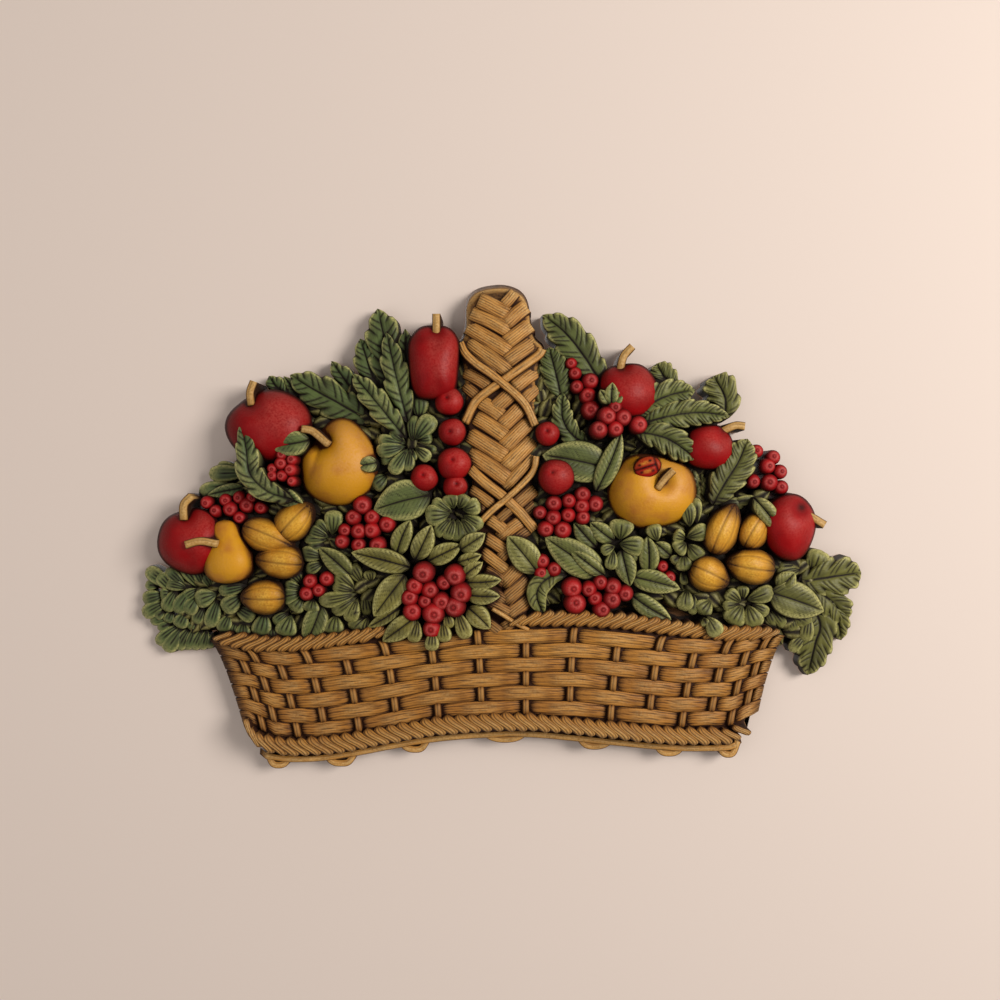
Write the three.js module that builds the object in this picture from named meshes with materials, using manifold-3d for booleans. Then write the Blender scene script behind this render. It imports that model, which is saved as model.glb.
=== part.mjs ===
// Wall plaque in low relief: a wicker basket with a plaited handle, heaped with fruit, berries, nuts and leaves.
// One moulded piece. Millimetres, +Z up, the wall is the plane y = 0 and the relief rises towards -Y.
import * as THREE from 'three';
import { mergeVertices } from 'three/addons/utils/BufferGeometryUtils.js';
import Module from 'manifold-3d';

const wasm = await Module();
wasm.setup();

// Driving dimensions. Places are [x, z] on the wall, heights are measured out from the wall.
const edgeHeight = 13;
const moundRise = 17;
const mound = { x: 0, z: -150, halfWidth: 300, halfHeight: 180 };
const slab = {
  outline: [[0, 10], [28, -8], [60, -14], [100, -24], [128, -32], [150, -45], [180, -48], [188, -70], [204, -92], [211, -108],
    [228, -128], [248, -160], [266, -182], [268, -205], [264, -232], [246, -248], [215, -246], [120, -262], [0, -262],
    [-120, -262], [-226, -240], [-258, -238], [-272, -222], [-276, -198], [-266, -176], [-262, -148], [-236, -122], [-212, -104],
    [-210, -60], [-172, -42], [-134, -30], [-100, -18], [-60, -12], [-28, -8]],
  middle: [0, -150], rings: [1, 0.86, 0.6, 0.3], height: 9, depth: 6,
};
const runBack = 4;
const draft = 0.05;
const lean = { x: 0, z: -128, height: 20, reach: 660 };
const smoothing = 0.3;
const mostTriangles = 9900;
const thinningStep = 0.9;
const foldLimit = 0.3;

const basket = {
  rim: [[-234, -239], [-205, -247], [-172, -249], [-100, -242], [-15, -232], [60, -230.5], [140, -238.5], [185, -240], [224, -236]],
  foot: [[-203, -306], [-180, -317], [-150, -318.5], [-100, -312], [-50, -302], [20, -299], [60, -301], [140, -309.5], [185, -308], [212, -295]],
  ends: [-236, 228],
  rows: 6,
  stakes: 16,
  stakeMiddle: 1,
  stakeSpread: 222,
  stakeArc: 1.34,
  gather: 0.09,
  gatherMiddle: 20,
  height: 14,
  bulge: 21,
  halfWidth: 240,
  weaveSwell: 3.2,
  stakeWidth: 6,
};
const topRope = {
  line: [[-238, -231], [-216, -240], [-190, -244], [-160, -243.5], [-130, -240], [-95, -234], [-40, -227], [30, -223.5], [85, -224.5],
    [140, -231], [180, -235], [222, -235]],
  width: 12, lean: 7, pitch: 11, lift: 5,
};
const footRope = {
  line: [[-205, -305], [-203, -318], [-190, -325], [-165, -326.5], [-130, -324], [-60, -311.5], [-10, -307], [30, -307], [90, -313],
    [140, -317.5], [178, -318], [200, -311], [210, -293]],
  width: 15, lean: -7, pitch: 11.5, lift: 4,
};
const footRod = { drop: 10, width: 5, height: 16 };
const footLoops = [[-186, -168, 343], [-140, -115, 341.5], [-80, -57, 330.5], [-14, 22, 322.5], [62, 90, 328], [124, 147, 333.5], [175, 190, 334.5]];

const handle = {
  outline: [[-21, -236], [-21, -150], [-23, -110], [-25, -80], [-29, -62], [-29, -30], [-32, -6], [-29, 2], [-27, 12], [-28, 24],
    [-25, 34], [-16, 41], [0, 43.5], [12, 41], [20, 35], [23.5, 25], [25, 8], [28, 0], [34, -6], [33, -14], [29, -40], [29, -64],
    [26, -78], [29, -100], [26, -118], [26, -140], [28, -156], [21, -190], [20, -236]],
  rimHeight: 17, height: 25, lowerHeight: 33,
  plaitTop: 42, plaitPitch: 17, plaitSlope: 0.7, plaitMiddle: 4, plaitHalfWidth: 22, plaitRounds: 16,
};
const bindings = [
  { width: 6, line: [[34, -8], [30, -16], [8, -32], [-10, -42], [-21, -54], [-27, -67]] },
  { width: 6, line: [[-32, -3], [-28, -10], [-6, -28], [12, -43], [22, -57], [28, -67]] },
  { width: 6, line: [[-22, -105], [-9, -116], [5, -130], [16, -139], [27, -151]] },
  { width: 5, line: [[28, -97], [20, -111], [5, -126], [-6, -135], [-15, -144]] },
  { width: 3.5, line: [[-6, -216], [5, -222], [14, -228], [22, -232]] },
];

// Round fruit: [x, z, half width, half height, height of its crown]
const apples = [
  { at: [-186, -71], radii: [32, 33], crown: 47 },
  { at: [-53, -19], radii: [20, 30], crown: 45, square: 0.8 },
  { at: [-247, -160], radii: [27, 28], crown: 42 },
  { at: [101, -42], radii: [24, 25], crown: 44 },
  { at: [167, -86], radii: [20, 18], crown: 42 },
  { at: [231, -150], radii: [22, 27], crown: 43 },
];
const goldApples = [
  { at: [-130, -99], radii: [32, 36], crown: 50, dimple: [-142, -80, 9] },
  { at: [121, -121], radii: [36, 30], crown: 50, dimple: [134, -111, 9] },
];
const pear = { foot: [-216, -195], tip: [-221, -144], belly: 0.33, width: 40, neck: 21, crown: 44 };
const crabApples = [[-40.8, -49, 11.7], [-38.4, -73.6, 11.3], [-36.8, -99.2, 13.8], [-60.8, -110.4, 11.3], [-36, -117, 10],
  [38, -75, 10], [44.8, -109.6, 14.8]];
const nuts = [
  { foot: [-202, -152], tip: [-166, -163], width: 23 },
  { foot: [-177, -154], tip: [-156, -135], width: 25 },
  { foot: [-168, -177], tip: [-194, -173], width: 24 },
  { foot: [-174, -206], tip: [-205, -206], width: 25 },
  { foot: [171, -168], tip: [187, -134], width: 24 },
  { foot: [197, -164], tip: [212, -140], width: 22 },
  { foot: [217, -184], tip: [184, -178], width: 26 },
  { foot: [156, -182], tip: [180, -194], width: 27 },
];
const stems = [
  { line: [[-198, -54], [-199, -42], [-197, -33]], width: 8.5, heights: [43, 30] },
  { line: [[-51, 2], [-51, 21]], width: 8, heights: [39, 34] },
  { line: [[-253, -146], [-253, -132], [-247, -125]], width: 9, heights: [41, 30] },
  { line: [[95, -23], [99, -13], [106, -5]], width: 8, heights: [39, 28] },
  { line: [[178, -73], [188, -68.5], [196, -69]], width: 7, heights: [38, 26] },
  { line: [[237, -142], [249, -142], [260, -148]], width: 8.5, heights: [42, 28] },
  { line: [[-158, -71], [-150, -73], [-138, -81]], width: 6, heights: [40, 50] },
  { line: [[-250, -164], [-240, -161], [-230, -162]], width: 6, heights: [44, 43] },
  { line: [[127, -118], [133, -111], [140, -105]], width: 6, heights: [50, 48] },
];
const ladybird = { at: [117, -101], radii: [10.5, 8.5], crown: 51 };

// Berry bunches: [x, z, radius] of each berry
const bunches = [
  { lift: 12, berries: [[-234, -130, 5], [-227, -137, 5], [-219, -128, 5], [-215, -135, 6], [-208, -126, 5], [-202, -132, 6],
    [-198, -126, 4.5], [-191, -134, 5], [-208, -142, 5]] },
  { lift: 14, berries: [[-174, -92, 4.5], [-166, -96, 4.5], [-175, -99, 5], [-182, -103, 4], [-167, -104, 5], [-182, -109, 4.5],
    [-174, -108.5, 4.5], [-166, -113, 4]] },
  { lift: 14, berries: [[-110, -132, 7], [-117, -142, 6], [-102, -142, 6], [-90, -147, 6.5], [-124, -152, 5], [-113, -153, 6],
    [-102, -152, 6.5], [-126, -161, 5.5], [-113, -164, 5.5], [-97.5, -164, 6.5]] },
  { lift: 14, berries: [[-151.5, -193, 5.5], [-138.5, -191, 5.5], [-154.5, -202.5, 5.5], [-145, -200, 5]] },
  { lift: 20, berries: [[-61, -186, 8], [-36, -188, 8], [-68, -197, 6.5], [-56, -200, 6.5], [-45, -194, 5.5], [-72, -206, 6.5],
    [-60, -209, 5.5], [-47, -209, 7], [-31, -202, 8], [-70, -217, 7], [-53, -218, 8.5], [-36, -213, 8], [-54, -231, 7]] },
  { lift: 13, berries: [[57, -19, 4.5], [60, -27, 5], [61.5, -37.5, 5], [72, -33.5, 6.5], [70.5, -45, 6.5], [73, -56, 7.5],
    [85.5, -60, 7], [92, -53.5, 5.5], [98, -61.5, 6], [78.5, -73, 6.5], [92, -70.5, 6], [110.5, -68, 6.5]] },
  { lift: 14, berries: [[66, -124, 6], [43, -131, 6], [55, -129, 5.5], [65.5, -133, 6], [76, -131, 6], [32, -138, 5],
    [42.5, -142, 6], [54.5, -140, 5.5], [66, -142, 5.5], [36.5, -151, 6], [50, -152, 6.5]] },
  { lift: 14, berries: [[33.5, -177, 5.5], [32.5, -186, 5], [43, -183.5, 5.5]] },
  { lift: 17, berries: [[57.5, -198, 7.5], [71, -199, 6], [80, -194, 5.5], [90, -197.5, 6.5], [100, -202.5, 6], [76, -206.5, 5.5],
    [89, -207.5, 7], [60, -210.5, 8], [81, -215, 6.5]] },
  { lift: 12, berries: [[129.5, -181, 4.5], [127.5, -189, 4.5], [135, -190, 5]] },
  { lift: 10, berries: [[205, -89, 5], [218, -94, 5.5], [213.5, -101, 6], [223.5, -105.5, 5.5], [202, -113, 5.5], [215, -114, 6.5],
    [224.5, -118, 5.5]] },
];

// Leaves: [base x, base z, tip x, tip z, width, optional extra lift]. A blade is pointed and folded in along its
// midrib, a lobe is round ended and swells along it.
const leaves = [
  // frond over the upper left apple, and the dark leaves under it
  { shape: 'blade', lift: 22, rows: [[-196, -98, -208, -64, 8], [-201, -104, -209, -77, 6, -5], [-197, -107, -203, -80, 6, 1],
    [-189, -115, -207, -91, 10, 1], [-182, -119, -211, -99, 9], [-174, -121, -211, -108, 9, -3], [-168, -125, -204, -119, 9, -7]] },
  { shape: 'lobe', lift: 4, rows: [[-200, -106, -233, -107, 10], [-206, -104, -226, -100, 6, -3], [-202, -117, -241, -122, 13, -1]] },
  { shape: 'blade', lift: 8, rows: [[-204, -118, -234, -124, 7], [-158, -122, -191, -127, 10, 5], [-165, -121, -141, -141, 9, 5]] },
  // leaf lying on the upper left apple
  { shape: 'blade', lift: 24, rows: [[-152, -86, -184, -84, 16]] },
  // leaves behind the left gold apple
  { shape: 'lobe', lift: 2, rows: [[-168, -46, -183, -28, 11], [-160, -48, -173, -29, 8], [-146, -54, -162, -27, 12, 3],
    [-138, -57, -150, -36, 10, 2], [-112, -66, -140, -37, 19, 4]] },
  { shape: 'blade', lift: 7, rows: [[-136, -60, -163, -43, 8, 2], [-126, -67, -157, -54, 9], [-124, -70, -147, -61, 7, -2]] },
  // tall sprays beside the top apple
  { shape: 'blade', lift: 4, rows: [[-93, -26, -98, 24, 15], [-86, -22, -88, 17, 13, 1], [-97, -16, -104, 8, 8, -2],
    [-74, -45, -75, 8, 10, 3], [-69, -48, -74, -25, 7, 6], [-105, -38, -112, 1, 9, -1], [-101, -46, -110, -10, 9, 2]] },
  { shape: 'blade', lift: 11, rows: [[-78, -62, -91, 6, 13], [-84, -40, -98, -8, 8, -1], [-80, -44, -84, -2, 9, 1],
    [-84, -52, -97, -22, 7, 1], [-76, -52, -80, -15, 6, 2]] },
  { shape: 'lobe', lift: 4, rows: [[-106, -56, -134, -17, 14], [-112, -50, -125, -19, 9, -1]] },
  { shape: 'blade', lift: 13, rows: [[-79, -70, -117, -28, 11], [-82, -64, -102, -32, 8, 1], [-80, -68, -99, -45, 7, 2],
    [-78, -74, -92, -51, 7, 2], [-88, -62, -107, -38, 6, -1]] },
  // leaves in the hollow between the sprays and the crab apples
  { shape: 'lobe', lift: 8, rows: [[-65, -64, -65, -43, 14], [-70, -64, -76, -52, 7, -3], [-70, -82, -69, -60, 9, 1],
    [-68, -80, -53, -61, 14, 3], [-66, -80, -54, -77, 9, 1], [-66, -86, -50, -88, 6, -2]] },
  { shape: 'lobe', lift: 14, rows: [[-76, -82, -88, -73, 8], [-76, -83, -98, -79, 9], [-76, -85, -99, -89, 11, 1],
    [-76, -87, -96, -98, 8, -2], [-74, -87, -87, -107, 11, 1], [-72, -87, -75, -105, 9], [-70, -87, -70, -97, 7, -2],
    [-68, -86, -56, -96, 9, -1]] },
  { shape: 'blade', lift: 12, rows: [[-98, -98, -114, -101, 10, 6], [-56, -124, -101, -136, 28, 3]] },
  { shape: 'lobe', lift: 8, rows: [[-90, -108, -102, -118, 13]] },
  // blades round the middle bunch
  { shape: 'blade', lift: 10, rows: [[-83, -172, -72, -144, 14], [-68, -176, -55, -148, 15, 3], [-58, -177, -31, -164, 14, 2],
    [-72, -182, -119, -170, 16, 2], [-76, -188, -101, -221, 20, 3], [-79, -213, -106, -230, 9, 1], [-68, -222, -94, -241, 15, 3]] },
  { shape: 'lobe', lift: 8, rows: [[-66, -224, -70, -242, 10], [-54, -232, -55, -249, 10, 2], [-46, -225, -44, -242, 10, 1],
    [-43, -218, -40, -231, 8, -1], [-34, -217, -26, -239, 11]] },
  { shape: 'blade', lift: 12, rows: [[-26, -214, -8, -231, 15], [-27, -204, 0, -205, 12, 1], [-28, -194, 1, -192, 11],
    [-30, -190, -14, -178, 10, 1], [-34, -178, -15, -172, 9], [-32, -168, -12, -155, 13, 1]] },
  // lobed leaves and scale leaflets of the left half
  { shape: 'lobe', lift: 10, rows: [[-134, -156, -133, -136, 13, 1], [-137, -156, -148, -145, 9], [-137, -158, -154, -151, 9, 1],
    [-138, -160, -157, -159, 8], [-139, -163, -154, -166, 7, -1], [-141, -174, -160, -170, 11], [-141, -178, -156, -185, 9, -1]] },
  { shape: 'blade', lift: 11, rows: [[-118, -190, -145, -166, 15], [-116, -172, -130, -166, 7, -4]] },
  { shape: 'lobe', lift: 7, rows: [[-110, -195, -120, -179, 10], [-103, -194, -105, -184, 9, 1]] },
  { shape: 'lobe', lift: 10, rows: [[-158, -196, -168, -184, 10, -1], [-158, -199, -173, -196, 9], [-158, -202, -176, -206, 12, 1],
    [-158, -205, -167, -216, 13], [-149, -207, -152, -218, 12, 1]] },
  { shape: 'lobe', lift: 10, rows: [[-116, -199, -132, -186, 11], [-116, -201, -134, -196, 9, 1], [-115, -203, -145, -209, 11, 2],
    [-115, -206, -134, -218, 11, 1], [-114, -207, -121, -226, 11, 2], [-108, -203, -106, -221, 10, -4], [-108, -222, -119, -233, 12],
    [-105, -221, -108, -236, 10, 1], [-131, -220, -134, -237, 15, 1], [-112, -214, -119, -222, 7, 3]] },
  { shape: 'blade', lift: 12, rows: [[-143, -212, -156, -244, 17]] },
  { shape: 'lobe', lift: 8, rows: [[-201, -196, -225, -201, 10, 2], [-206, -204, -222, -216, 13, 3], [-213, -213, -196, -223, 11],
    [-216, -219, -223, -234, 11, -1], [-211, -225, -214, -235, 8, -2], [-205, -226, -206, -237, 11], [-188, -217, -193, -238, 14],
    [-182, -228, -182, -240, 8], [-169, -218, -181, -227, 9], [-167, -220, -174, -238, 15, 2]] },
  { shape: 'lobe', lift: 4, rows: [[-262, -198, -283, -183, 11], [-262, -201, -274, -187, 10, 2], [-262, -203, -272, -204, 10, 1],
    [-251, -198, -267, -183, 9, 3], [-250, -199, -268, -194, 9, 3], [-240, -199, -255, -179, 10, 2], [-237, -198, -244, -182, 9, 2],
    [-230, -200, -238, -186, 8, 1], [-258, -199, -268, -217, 11, 2], [-248, -199, -260, -218, 12, 3], [-240, -199, -254, -208, 9, 2],
    [-242, -205, -251, -219, 12, 4], [-226, -203, -244, -209, 13, 5], [-225, -206, -233, -230, 11, 4], [-236, -212, -244, -227, 9, 2],
    [-262, -216, -267, -226, 8], [-251, -217, -258, -230, 11, 1], [-243, -224, -248, -232, 9, -1], [-272, -197, -284, -196, 7, -2],
    [-268, -203, -286, -208, 11, -1], [-266, -209, -286, -220, 11], [-268, -216, -276, -222, 7, 1], [-262, -222, -280, -225, 8, -2],
    [-262, -226, -274, -231, 7, -2]] },
  { shape: 'lobe', lift: 2, rows: [[-255, -227, -275, -243, 10], [-254, -229, -268, -249, 12, 1], [-247, -229, -258, -248, 10],
    [-244, -229, -251, -248, 8], [-238, -230, -246, -248, 9], [-234, -231, -239, -248, 8], [-229, -234, -233, -247, 6]] },
  // toothed leaf and lobed leaves right of the handle
  { shape: 'blade', lift: 7, rows: [[70, -14, 34, 20, 19], [72, -24, 62, 13, 14, 1], [74, -29, 75, 0, 10], [80, -30, 82, -9, 10],
    [67, -14, 42, 10, 8, 1], [68, -22, 51, 2, 9, 1], [68, -27, 54, -8, 9]] },
  { shape: 'blade', lift: 5, rows: [[48, -32, 38, -7, 11], [40, -47, 39, -17, 11, 2], [50, -41, 48, -14, 13, 2]] },
  { shape: 'lobe', lift: 7, rows: [[58, -58, 46, -43, 11], [59, -62, 45, -53, 10, 1], [60, -66, 46, -62, 9], [62, -68, 47, -73, 12, 1],
    [66, -72, 58, -80, 9], [72, -76, 68, -84, 8, -1], [80, -78, 79, -86, 7, -1]] },
  { shape: 'blade', lift: 14, rows: [[62, -106, 90, -86, 30, -2], [76, -119, 97, -75, 13], [64, -100, 42, -91, 13, -3]] },
  { shape: 'lobe', lift: 26, rows: [[89, -50, 91, -33, 14]] },
  // leaves between the upper right apples
  { shape: 'lobe', lift: 4, rows: [[127, -40, 123, -18, 10], [131, -40, 130, -20, 9, 1], [136, -40, 137, -25, 8], [139, -41, 142, -32, 6]] },
  { shape: 'blade', lift: 9, rows: [[104, -58, 134, -38, 13, 4], [112, -60, 146, -36, 10, 1], [118, -58, 153, -40, 12, 1], [126, -57, 153, -47, 8],
    [104, -60, 121, -56, 9, 6], [98, -79, 121, -78, 9, 2]] },
  { shape: 'blade', lift: 11, rows: [[122, -62, 181, -60, 16], [128, -62, 158, -66, 10, 1], [142, -62, 172, -67, 9], [150, -61, 182, -68, 8]] },
  { shape: 'blade', lift: 5, rows: [[178, -60, 170, -29, 14], [180, -60, 177, -35, 8, 1], [181, -60, 183, -41, 7], [181, -63, 186, -49, 7],
    [173, -52, 164, -39, 8, -1], [165, -52, 160, -42, 8, -3]] },
  { shape: 'blade', lift: 16, rows: [[112, -73, 155, -93, 17], [116, -78, 130, -86, 8, -5], [124, -78, 140, -87, 8, -4]] },
  // diagonal leaf and the small leaves under it
  { shape: 'blade', lift: 12, rows: [[174, -127, 197, -79, 15], [176, -118, 188, -83, 10, 1], [172, -122, 178, -100, 10],
    [168, -124, 170, -114, 9, -1], [184, -110, 205, -98, 9, 1], [182, -116, 203, -105, 8, 1], [178, -121, 200, -112, 8],
    [174, -127, 200, -119, 8], [190, -95, 205, -88, 7, -2]] },
  { shape: 'blade', lift: 4, rows: [[158, -122, 150, -98, 9], [160, -124, 160, -104, 9], [164, -128, 168, -106, 8, 1], [156, -130, 158, -112, 8]] },
  { shape: 'lobe', lift: 9, rows: [[172, -130, 196, -131, 9], [180, -132, 205, -127, 7, 1]] },
  { shape: 'blade', lift: 22, rows: [[203, -126, 226, -155, 13], [206, -128, 221, -147, 8, -2]] },
  // rosettes and blades under the right gold apple
  { shape: 'lobe', lift: 12, rows: [[152, -150, 149, -129, 11, 2], [157, -148, 157, -126, 7, 1], [149, -158, 167, -151, 12, 3],
    [149, -159, 139, -155, 10], [149, -162, 140, -169, 12, 1], [147, -171, 148, -185, 12, 1], [150, -163, 162, -176, 12, 1],
    [154, -162, 168, -172, 7, -1], [145, -172, 137, -178, 7, -1], [146, -184, 148, -196, 6, -1]] },
  { shape: 'blade', lift: 13, rows: [[119, -187, 118, -157, 14], [137, -173, 124, -162, 11, -2]] },
  { shape: 'lobe', lift: 13, rows: [[126, -161, 122, -147, 11, 2], [96, -160, 98, -143, 17], [95, -163, 116, -166, 14],
    [98, -166, 110, -177, 8, -2], [92, -165, 81, -170, 8], [91, -168, 88, -184, 9, 1]] },
  { shape: 'blade', lift: 11, rows: [[77, -166, 59, -146, 13], [91, -161, 72, -146, 13, 1], [97, -168, 104, -197, 15, 2],
    [83, -188, 36, -158, 23, 2], [84, -189, 56, -168, 11, 4], [104, -189, 144, -199, 16, 2], [105, -204, 137, -224, 14, 1],
    [18, -158, 25, -185, 17, 4], [30, -160, 18, -162, 8, 2]] },
  { shape: 'lobe', lift: 11, rows: [[50, -190, 30, -197, 10], [33, -193, 27, -210, 9], [29, -203, 34, -218, 8, -1], [34, -204, 48, -201, 9, -3]] },
  { shape: 'lobe', lift: 7, rows: [[150, -199, 148, -217, 12, 2], [155, -203, 154, -220, 7, 1], [169, -208, 159, -219, 14, 2],
    [166, -221, 175, -237, 12, 2], [163, -222, 166, -229, 7]] },
  { shape: 'lobe', lift: 10, rows: [[193, -210, 181, -201, 10], [194, -208, 194, -196, 9, -1], [197, -208, 219, -200, 12, 1],
    [194, -212, 184, -228, 16, 1], [196, -213, 192, -230, 8, -1], [198, -212, 206, -230, 14, 2], [201, -211, 215, -219, 9, 1],
    [192, -211, 178, -213, 8]] },
  { shape: 'lobe', lift: 5, rows: [[212, -212, 221, -230, 8], [217, -213, 229, -230, 8, 1]] },
  // leaves at the right end
  { shape: 'blade', lift: 9, rows: [[216, -202, 259, -217, 24, 4], [222, -199, 234, -188, 14, 3]] },
  { shape: 'lobe', lift: 5, rows: [[242, -183, 220, -190, 11, 1], [240, -181, 222, -181, 8], [250, -186, 257, -168, 16], [249, -186, 250, -172, 9, -1],
    [249, -191, 254, -199, 8, 2]] },
  { shape: 'blade', lift: 3, rows: [[250, -188, 288, -186, 20], [252, -185, 276, -178, 9, 1], [256, -194, 281, -195, 9, 1], [250, -197, 275, -207, 15, 1]] },
  { shape: 'lobe', lift: 3, rows: [[252, -208, 277, -223, 14], [255, -214, 274, -236, 12, 1], [256, -218, 265, -246, 9], [248, -219, 264, -255, 9, -1],
    [250, -216, 258, -231, 8, 3]] },
  { shape: 'lobe', lift: 6, rows: [[230, -216, 250, -229, 10], [247, -219, 244, -242, 9, 1], [248, -232, 232, -249, 8, -1],
    [232, -218, 236, -234, 8, -1], [238, -218, 241, -230, 7]] },
  { shape: 'lobe', lift: 1, rows: [[246, -240, 245, -268, 12], [245, -241, 236, -260, 9], [247, -241, 254, -262, 9, 1], [250, -240, 258, -256, 8],
    [240, -243, 232, -254, 7]] },
  // rosette left of the middle
  { shape: 'lobe', lift: 14, rows: [[-38, -138, -54, -128, 9], [-40, -139, -60, -140, 15, 1], [-39, -142, -52, -157, 9],
    [-37, -143, -43, -160, 9, 1], [-34, -143, -33, -162, 12], [-31, -143, -21, -158, 10, 1], [-29, -140, -14, -150, 11],
    [-30, -136, -16, -131, 12, 1], [-33, -135, -28, -123, 12], [-37, -135, -41, -123, 12, 1]] },
];

// Smooth line through a few points of a plane, read at any share of its length.
function smoothLine(points) {
  const curve = new THREE.CatmullRomCurve3(points.map(([x, z]) => new THREE.Vector3(x, 0, z)), false, 'centripetal');
  return curve;
}

// Height of a line of [x, z] points above a given x.
function lineAt(points, x) {
  let i = 0;
  while (i < points.length - 2 && points[i + 1][0] < x) i += 1;
  const [x0, z0] = points[i];
  const [x1, z1] = points[i + 1];
  return THREE.MathUtils.lerp(z0, z1, THREE.MathUtils.clamp((x - x0) / (x1 - x0), -0.3, 1.3));
}

function moundHeight(x, z) {
  const across = (x - mound.x) / mound.halfWidth;
  const up = (z - mound.z) / mound.halfHeight;
  return edgeHeight + moundRise * Math.max(0, 1 - across * across - up * up);
}

function basketHeight(x) {
  const across = Math.min(1, Math.abs(x) / basket.halfWidth);
  return basket.height + basket.bulge * Math.sqrt(1 - across * across);
}

// The relief draws in towards its middle as it rises, so that every piece clears the mould.
function leaned([x, z, height]) {
  const share = (height - lean.height) / lean.reach;
  return [x - (x - lean.x) * share, z - (z - lean.z) * share, height];
}

// Closed geometry from points and triangles; degenerate triangles go, and faces are turned outwards.
function closedGeometry(points, faces) {
  const loose = new THREE.BufferGeometry();
  loose.setAttribute('position', new THREE.Float32BufferAttribute(points.flatMap(([x, z, h]) => [x, -h, z]), 3));
  loose.setIndex(faces.flat());
  const merged = mergeVertices(loose, 1e-3);
  const place = merged.getAttribute('position');
  const kept = [];
  let sixVolumes = 0;
  const a = new THREE.Vector3();
  const b = new THREE.Vector3();
  const c = new THREE.Vector3();
  for (let i = 0; i < merged.index.count; i += 3) {
    const corner = [merged.index.getX(i), merged.index.getX(i + 1), merged.index.getX(i + 2)];
    if (new Set(corner).size < 3) continue;
    kept.push(corner);
    a.fromBufferAttribute(place, corner[0]);
    b.fromBufferAttribute(place, corner[1]);
    c.fromBufferAttribute(place, corner[2]);
    sixVolumes += a.dot(b.cross(c));
  }
  merged.setIndex((sixVolumes < 0 ? kept.map(([p, q, r]) => [p, r, q]) : kept).flat());
  return merged;
}

function solidOf(geometry) {
  return new wasm.Manifold(new wasm.Mesh({
    numProp: 3,
    vertProperties: geometry.getAttribute('position').array,
    triVerts: new Uint32Array(geometry.index.array),
  }));
}

// Solid under a rim and rings inside it: the rim runs straight back past the wall, widening a little as a mould needs.
function ringedSolid(plainRings, plainTop) {
  const rings = plainRings.map((ring) => ring.map(leaned));
  const top = leaned(plainTop);
  const count = rings[0].length;
  const middle = rings[0].reduce(([x, z], p) => [x + p[0] / count, z + p[1] / count], [0, 0]);
  const back = rings[0].map(([x, z]) => [x + (x - middle[0]) * draft, z + (z - middle[1]) * draft, -runBack]);
  const points = [...back, ...rings.flat(), top, [middle[0], middle[1], -runBack]];
  const faces = [];
  for (let ring = 0; ring < rings.length; ring += 1) {
    for (let i = 0; i < count; i += 1) {
      const near = ring * count + i;
      const next = ring * count + ((i + 1) % count);
      faces.push([near, next, near + count], [next, next + count, near + count]);
    }
  }
  const last = rings.length * count;
  for (let i = 0; i < count; i += 1) {
    faces.push([last + i, last + ((i + 1) % count), last + count]);
    faces.push([(i + 1) % count, i, last + count + 1]);
  }
  return solidOf(closedGeometry(points, faces));
}

// Solid under a sheet, given as rows of [x, z, height] points of equal length.
function sheetSolid(rows) {
  const across = rows[0].length;
  const along = rows.length;
  const points = rows.flat().map(leaned);
  const faces = [];
  for (let i = 0; i < along - 1; i += 1) {
    for (let j = 0; j < across - 1; j += 1) {
      const k = i * across + j;
      faces.push([k, k + across, k + across + 1], [k, k + across + 1, k + 1]);
    }
  }
  const rim = [];
  for (let j = 0; j < across; j += 1) rim.push(j);
  for (let i = 1; i < along; i += 1) rim.push(i * across + across - 1);
  for (let j = across - 2; j >= 0; j -= 1) rim.push((along - 1) * across + j);
  for (let i = along - 2; i > 0; i -= 1) rim.push(i * across);
  const middle = rim.reduce(([x, z], k) => [x + points[k][0] / rim.length, z + points[k][1] / rim.length], [0, 0]);
  const first = points.length;
  rim.forEach((k) => {
    const [x, z] = points[k];
    points.push([x + (x - middle[0]) * draft, z + (z - middle[1]) * draft, -runBack]);
  });
  points.push([middle[0], middle[1], -runBack]);
  rim.forEach((k, i) => {
    const next = (i + 1) % rim.length;
    faces.push([k, rim[next], first + i], [rim[next], first + next, first + i]);
    faces.push([first + i, first + next, first + rim.length]);
  });
  return solidOf(closedGeometry(points, faces));
}

// Half widths and heights of a leaf at each station from its base to its tip.
const leafShapes = {
  blade: { stations: [0, 0.28, 0.68, 1], widths: [0, 0.86, 0.8, 0], rise: [-3, 0, 0.5, -1], fold: -1.3 },
  lobe: { stations: [0, 0.42, 0.8, 1], widths: [0, 0.8, 1, 0.42], rise: [-4, 0, 0.5, -1.5], fold: 1.6 },
};

function leafSolid([baseX, baseZ, tipX, tipZ, width, extra = 0], shape, lift) {
  const form = leafShapes[shape];
  const length = Math.hypot(tipX - baseX, tipZ - baseZ);
  const side = [-(tipZ - baseZ) / length, (tipX - baseX) / length];
  const rows = form.stations.map((share, i) => {
    const x = baseX + (tipX - baseX) * share;
    const z = baseZ + (tipZ - baseZ) * share;
    const height = moundHeight(x, z) + lift + extra - 6 + form.rise[i];
    const half = (width / 2) * form.widths[i];
    return [-1, 0, 1].map((s) => [x + side[0] * half * s, z + side[1] * half * s, height + (s === 0 ? form.fold : 0)]);
  });
  return sheetSolid(rows);
}

// Round fruit or berry: rings of a dome over its outline.
function domeSolid(x, z, radii, equator, crown, sides, levels, square = 1, turn = 0) {
  const rings = levels.map((level) => {
    const angle = level * Math.PI * 0.5;
    const reach = Math.cos(angle);
    const height = equator + (crown - equator) * Math.sin(angle);
    return Array.from({ length: sides }, (_, i) => {
      const around = turn + (i / sides) * Math.PI * 2;
      const c = Math.cos(around);
      const s = Math.sin(around);
      const px = Math.sign(c) * Math.abs(c) ** square;
      const pz = Math.sign(s) * Math.abs(s) ** square;
      return [x + radii[0] * reach * px, z + radii[1] * reach * pz, height];
    });
  });
  return ringedSolid(rings, [x, z, crown]);
}

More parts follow.
